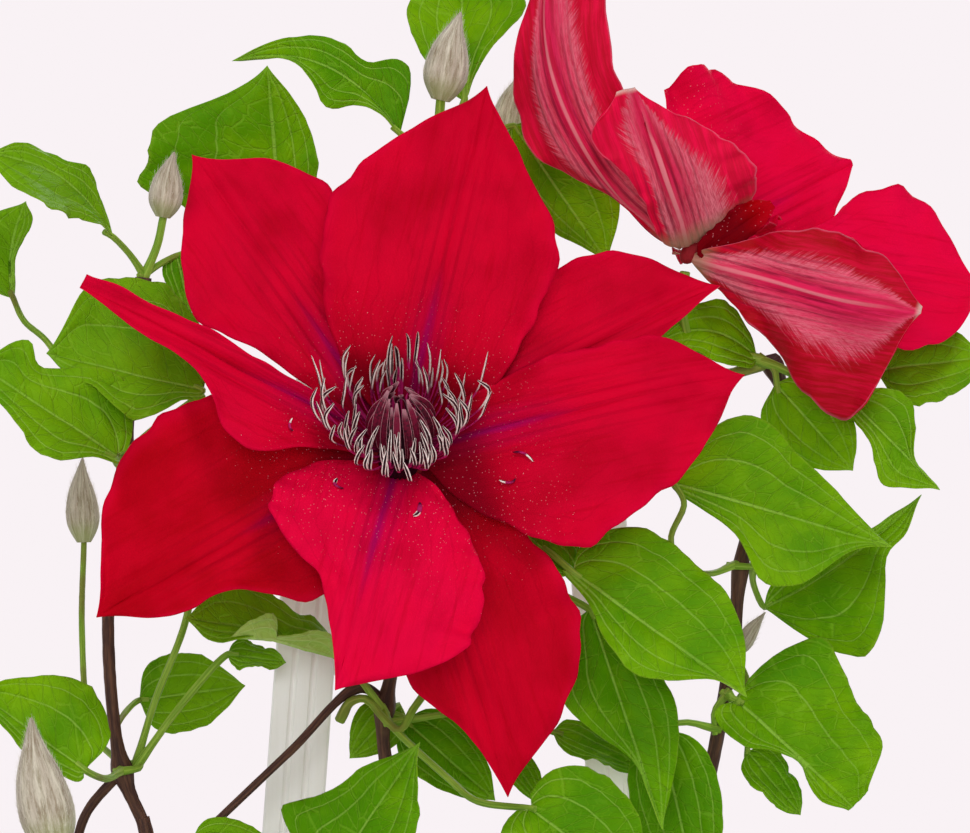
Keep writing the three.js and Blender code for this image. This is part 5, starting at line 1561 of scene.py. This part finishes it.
def turned(profile):
    """Points and quads of an open profile of (radius, height) turned about the z axis."""
    angle = np.arange(SIDES) * 2 * math.pi / SIDES
    r, z = np.asarray(profile, float).T
    columns = [np.outer(r, np.cos(angle)), np.outer(r, np.sin(angle)), np.repeat(z[:, None], SIDES, 1)]
    index = np.arange(len(r) * SIDES).reshape(len(r), SIDES)
    a, b = index[:-1], index[1:]
    quads = np.stack([a, np.roll(a, -1, 1), np.roll(b, -1, 1), b], axis=2)
    return np.stack(columns, axis=2).reshape(-1, 3), quads.reshape(-1, 4)


def rounded(profile, cut=0.6):
    """A profile with each inner corner replaced by three points."""
    p = np.asarray(profile, float)
    out = [p[0]]
    for before, here, after in zip(p[:-2], p[1:-1], p[2:]):
        a, b = (here + unit(q - here) * min(cut, np.linalg.norm(q - here) * 0.45) for q in (before, after))
        out += [a, (a + b + 2 * here) / 4, b]
    return out + [p[-1]]


def walls(one, two):
    """Quads between two closed loops of the same count."""
    return [(one[i - 1], one[i], two[i], two[i - 1]) for i in range(len(one))]


def holed_skin(z, outer):
    """Quads of a disc at height z with drain holes, and the points round each hole."""
    def polar(r, t):
        return np.array((r * math.cos(t), r * math.sin(t), z))

    around = np.arange(SIDES + 1) * 2 * math.pi / SIDES
    steps = list(zip(around, around[1:]))
    quads = []
    for low, high in ((0, HUB), (HUB, BAND_IN), (BAND_OUT, outer)):
        quads += [(polar(low, s), polar(high, s), polar(high, t), polar(low, t)) for s, t in steps]
    holes = []
    for k in range(HOLES):
        middle = math.pi * (k + 0.5) / 3
        turns = middle + np.linspace(-1, 1, SIDES // HOLES + 1) * math.pi / HOLES
        inwards = np.linspace(BAND_OUT, BAND_IN, 5)
        edge = [(BAND_OUT, t) for t in turns[:-1]] + [(r, turns[-1]) for r in inwards[:-1]]
        edge += [(BAND_IN, t) for t in turns[:0:-1]] + [(r, turns[0]) for r in inwards[:0:-1]]
        rim = [polar(r, t) for r, t in edge]
        centre = polar(HOLE_RING, middle)
        hole, collar = ([centre + r * unit(p - centre) for p in rim] for r in (HOLE_RADIUS, HOLE_COLLAR))
        quads += walls(rim, collar) + walls(collar, hole)
        holes.append(hole)
    return quads, holes


def welded(name, quads, finish, degrees):
    """A closed piece from loose quads in millimetres, joined where their points meet.

    Its faces are smooth, with hard edges where two meet at more than an angle."""
    corners = np.round(np.asarray(quads, float).reshape(-1, 3), 4)
    points, index = np.unique(corners, axis=0, return_inverse=True)
    faces = [list(dict.fromkeys(q)) for q in index.reshape(-1, 4).tolist()]
    piece = plain_mesh(name, points * MM, [f for f in faces if len(f) > 2])
    piece.data.materials.append(finish)
    piece.data.polygons.foreach_set("use_smooth", np.full(len(piece.data.polygons), True))
    piece.data.set_sharp_from_angle(angle=math.radians(degrees))
    return piece


def pot_finish():
    f = Finish("pot_plastic", Specular_IOR_Level=0.35)
    height = f.split(f.place)["Z"]
    rings = f.grain(2, 0.5, height * 900, 0.0, 0.0)
    patch, pits = f.noise(34, 4, 0.6), f.noise(1500, 2, 0.5)
    low = f.rise(height, 0.05, 0.0)
    dark = f.paint(
        f.blend(f.rise(patch, 0.4, 0.7), (40, 41, 43), (58, 59, 61)),
        (f.rise(patch + low * 0.4 + pits * 0.2, 0.72, 1.0) * 0.6, (112, 100, 84)),
        (f.rise(f.cells(95) + patch * 0.16, 0.24, 0.16) * 0.1, (122, 116, 106)),
    )
    return f.show(dark, patch * 0.2 + pits * 0.1 + 0.42, pits * 0.4 + rings * 0.25, 0.15)


# %% The pot
POT_FOOT, POT_FLOOR, FLOOR_HEIGHT = 54.5, 52, 2
INSIDE_FOOT, INSIDE_TOP = (54, 3.2), (69.6, 115)
COLLAR = [(72, 116), (74.6, 117), (75, 129), (74, 130), (72.8, 129.2)]
profile = [(POT_FOOT, 0), (56, 1.5), *COLLAR, INSIDE_TOP, INSIDE_FOOT, (POT_FLOOR, FLOOR_HEIGHT)]
points, faces = turned(rounded(profile))
under, under_holes = holed_skin(0, POT_FOOT)
upper, upper_holes = holed_skin(FLOOR_HEIGHT, POT_FLOOR)
quads = list(points[faces]) + [q[::-1] for q in under] + upper
for low, high in zip(under_holes, upper_holes):
    quads += walls(high, low)
settle(welded("nursery_pot", quads, pot_finish(), 40), "pot_plastic", "pot")

# %% [markdown]
# ## Compost
#
# Peat compost settles into soft lumps with a dip at the wall. Its skin is a turned plug whose
# top is pushed up and down by a few crossing waves, and crumbs and perlite lie on it. The
# finish is a dark brown, damp in patches, with pale fibres.


# %% Compost and its crumbs
PLUG_GAP, PLUG_BOTTOM, PLUG_SHOULDER, PLUG_TOP = 0.3, 2.3, 113, 116.4


def compost_finish():
    f = Finish("peat_compost", Specular_IOR_Level=0.15)
    patch, grit = f.noise(60, 4, 0.6), f.noise(900, 4, 0.65)
    fibres = f.noise(1.0, 2, 0.5, f.vectors("MULTIPLY", f.place, (1500, 160, 400)))
    brown = f.paint(
        f.blend(f.rise(patch, 0.38, 0.66), (40, 27, 20), (74, 53, 38)),
        (f.rise(grit, 0.4, 0.7) * 0.6, (26, 18, 14)),
        (f.rise(fibres, 0.64, 0.76) * 0.5, (124, 92, 62)),
    )
    return f.show(brown, grit * 0.25 + 0.7, grit + fibres * 0.4, 1.0)


def plug_radius(z):
    """The pot's inner radius at a height, less a gap."""
    share = (z - INSIDE_FOOT[1]) / (INSIDE_TOP[1] - INSIDE_FOOT[1])
    return INSIDE_FOOT[0] + share * (INSIDE_TOP[0] - INSIDE_FOOT[0]) - PLUG_GAP


plug = [(0, PLUG_BOTTOM), (POT_FLOOR, PLUG_BOTTOM)] + [(plug_radius(z), z) for z in (5, 60, PLUG_SHOULDER)]
inwards = np.linspace(plug_radius(PLUG_SHOULDER) - 1, 0, 34)
plug += [(r, PLUG_TOP + 1.9 * (1 - (r / 70) ** 6)) for r in inwards]
points, faces = turned(plug)
x, y, z = points.T
lumps = 1.3 * np.sin(0.17 * x + 1) * np.cos(0.21 * y) + 0.7 * np.sin(0.31 * x + 0.23 * y)
lumps += 0.5 * np.sin(0.9 * x + 0.4 * y) * np.cos(0.7 * y - 0.5 * x)
lumps += 0.3 * np.sin(1.7 * x) * np.cos(1.9 * y + 1)
points[:, 2] += np.where(z > PLUG_SHOULDER + 1, lumps * np.clip(np.hypot(x, y) / 3, 0, 1), 0)
soil = welded("compost", points[faces], compost_finish(), 50)
settle(soil, "soil", "soil")
crumb = flecked_finish("peat_crumb", (38, 25, 18), (92, 66, 46), 0.7, scale=500)
perlite = flecked_finish("perlite_grain", (206, 202, 194), (238, 236, 230), 0.7, scale=500)
ON_TOP = dict(Largest=0.0019, Lowest=0.1135)
crumbs = grow(soil, scatter, "compost_crumbs", crumb, Density=95000.0, Smallest=0.0006, Seed=5, **ON_TOP)
settle(crumbs, "soil")
grains = grow(soil, scatter, "compost_perlite", perlite, Density=5200.0, Smallest=0.0008, Seed=6, **ON_TOP)
settle(grains, "soil")

# %% [markdown]
# ## Ladder
#
# The ladder is one moulding in white plastic. Two rails with two grooves down the front lean
# together and meet in an arch, and flat rungs join them. Each member is the same operation: a
# section of points across and through the bar, carried along stations that lie in one
# plane. Rounded corners catch the light as a moulding's do. The finish is a warm white with
# faint flow lines along each bar and a little green algae low down.


# %% Bars of the ladder
CORNER = 0.7
GROOVE = 0.75


def bar(stations, section):
    """Quads of a closed bar; a station is its centre and its half-width as a vector."""
    a, d = np.asarray(section, float).T
    loops = [np.asarray(c) + np.outer(a, w) + np.outer(d, (0, 1, 0)) for c, w in stations]
    quads = [quad for one, two in zip(loops, loops[1:]) for quad in walls(one, two)]
    for loop, order in ((loops[0], -1), (loops[-1], 1)):
        middle = loop.mean(axis=0)
        quads += [(loop[i - 1], loop[i], middle, middle)[::order] for i in range(len(a))]
    return quads


def section_points(width, depth, grooves=()):
    """A section with rounded corners and round grooves in its front, in shares across."""
    w, d, r = width / 2, depth / 2, CORNER
    loop = [(-w + r, -d)]
    for at in grooves:
        loop += [(at + x, -d + GROOVE * (1 - (x / GROOVE) ** 2)) for x in np.linspace(-GROOVE, GROOVE, 7)]
    loop += [(w - r, -d)]
    for quarter, (x, y) in enumerate(((1, -1), (1, 1), (-1, 1), (-1, -1))):
        turn = [math.radians(90 * (quarter - 1) + k * 22.5) for k in range(5)]
        loop += [(x * (w - r) + r * math.cos(t), y * (d - r) + r * math.sin(t)) for t in turn]
    kept = [p for k, p in enumerate(loop) if math.dist(p, loop[k - 1]) > 1e-6]
    return [(x / w, y) for x, y in kept]


def bezier(corners, t):
    a, b, c, d = np.asarray(corners, float)
    return a * (1 - t) ** 3 + 3 * b * t * (1 - t) ** 2 + 3 * c * t * t * (1 - t) + d * t**3


def ladder_finish():
    f = Finish("ladder_plastic", Specular_IOR_Level=0.5)
    spot = f.split(f.place)
    flow = f.grain(3, 0.6, spot["X"] * 420, spot["Y"] * 420, spot["Z"] * 14)
    patch, pits = f.noise(40, 4, 0.6), f.noise(1600, 2, 0.5)
    algae = f.rise(patch + f.rise(spot["Z"], 0.2, 0.11) * 0.3, 0.66, 0.9)
    white = f.paint(
        f.blend(f.rise(flow, 0.3, 0.7), (248, 248, 245), (255, 255, 254)),
        (algae * 0.35, (186, 188, 158)),
    )
    return f.show(white, patch * 0.16 + pits * 0.1 + 0.36, flow * 0.4 + pits * 0.3, 0.12)


# %% The ladder
LADDER_Y = 8
RAIL_FOOT, RAIL_TOP = (51.2, 50), (26.7, 376)
RAIL_WIDTH, RUNG_WIDTH = 12.4, 9
FIRST_RUNG, RUNG_STEP, RUNGS = 125.5, 47.5, 6
ARCH_HEIGHT, ARCH_STEPS = 370, 17
ARCH_OUTER = ((32.7, 0), (30.7, 22), (14, 24), (0, 24))
ARCH_INNER = ((20.7, 0), (18.7, 12), (10, 14), (0, 14))


def rail_x(z):
    share = (z - RAIL_FOOT[1]) / (RAIL_TOP[1] - RAIL_FOOT[1])
    return RAIL_FOOT[0] + (RAIL_TOP[0] - RAIL_FOOT[0]) * share


quads = []
for side in (-1, 1):
    low, high = (np.array((side * x, LADDER_Y, z), float) for x, z in (RAIL_FOOT, RAIL_TOP))
    across = unit(np.cross((0, 1, 0), high - low)) * RAIL_WIDTH / 2
    quads += bar([(low, across), (high, across)], section_points(RAIL_WIDTH, 5, (-2, 2)))
for z in FIRST_RUNG + RUNG_STEP * np.arange(RUNGS):
    ends = [((side * (rail_x(z) - 2), LADDER_Y, z), (0, 0, RUNG_WIDTH / 2)) for side in (1, -1)]
    quads += bar(ends, section_points(RUNG_WIDTH, 4))
stations = []
for side in (-1, 1):
    for t in np.linspace(0, 1, ARCH_STEPS)[::-side][side > 0 :]:
        outer, inner = bezier(ARCH_OUTER, t), bezier(ARCH_INNER, t)
        (x, z), (half_x, half_z) = (outer + inner) / 2, (outer - inner) / 2
        stations.append(((side * x, LADDER_Y, ARCH_HEIGHT + z), np.array((side * half_x, 0, half_z))))
quads += bar(stations[::-1], section_points(10, 4.2))
settle(welded("ladder", quads, ladder_finish(), 35), "trellis_plastic", "trellis")
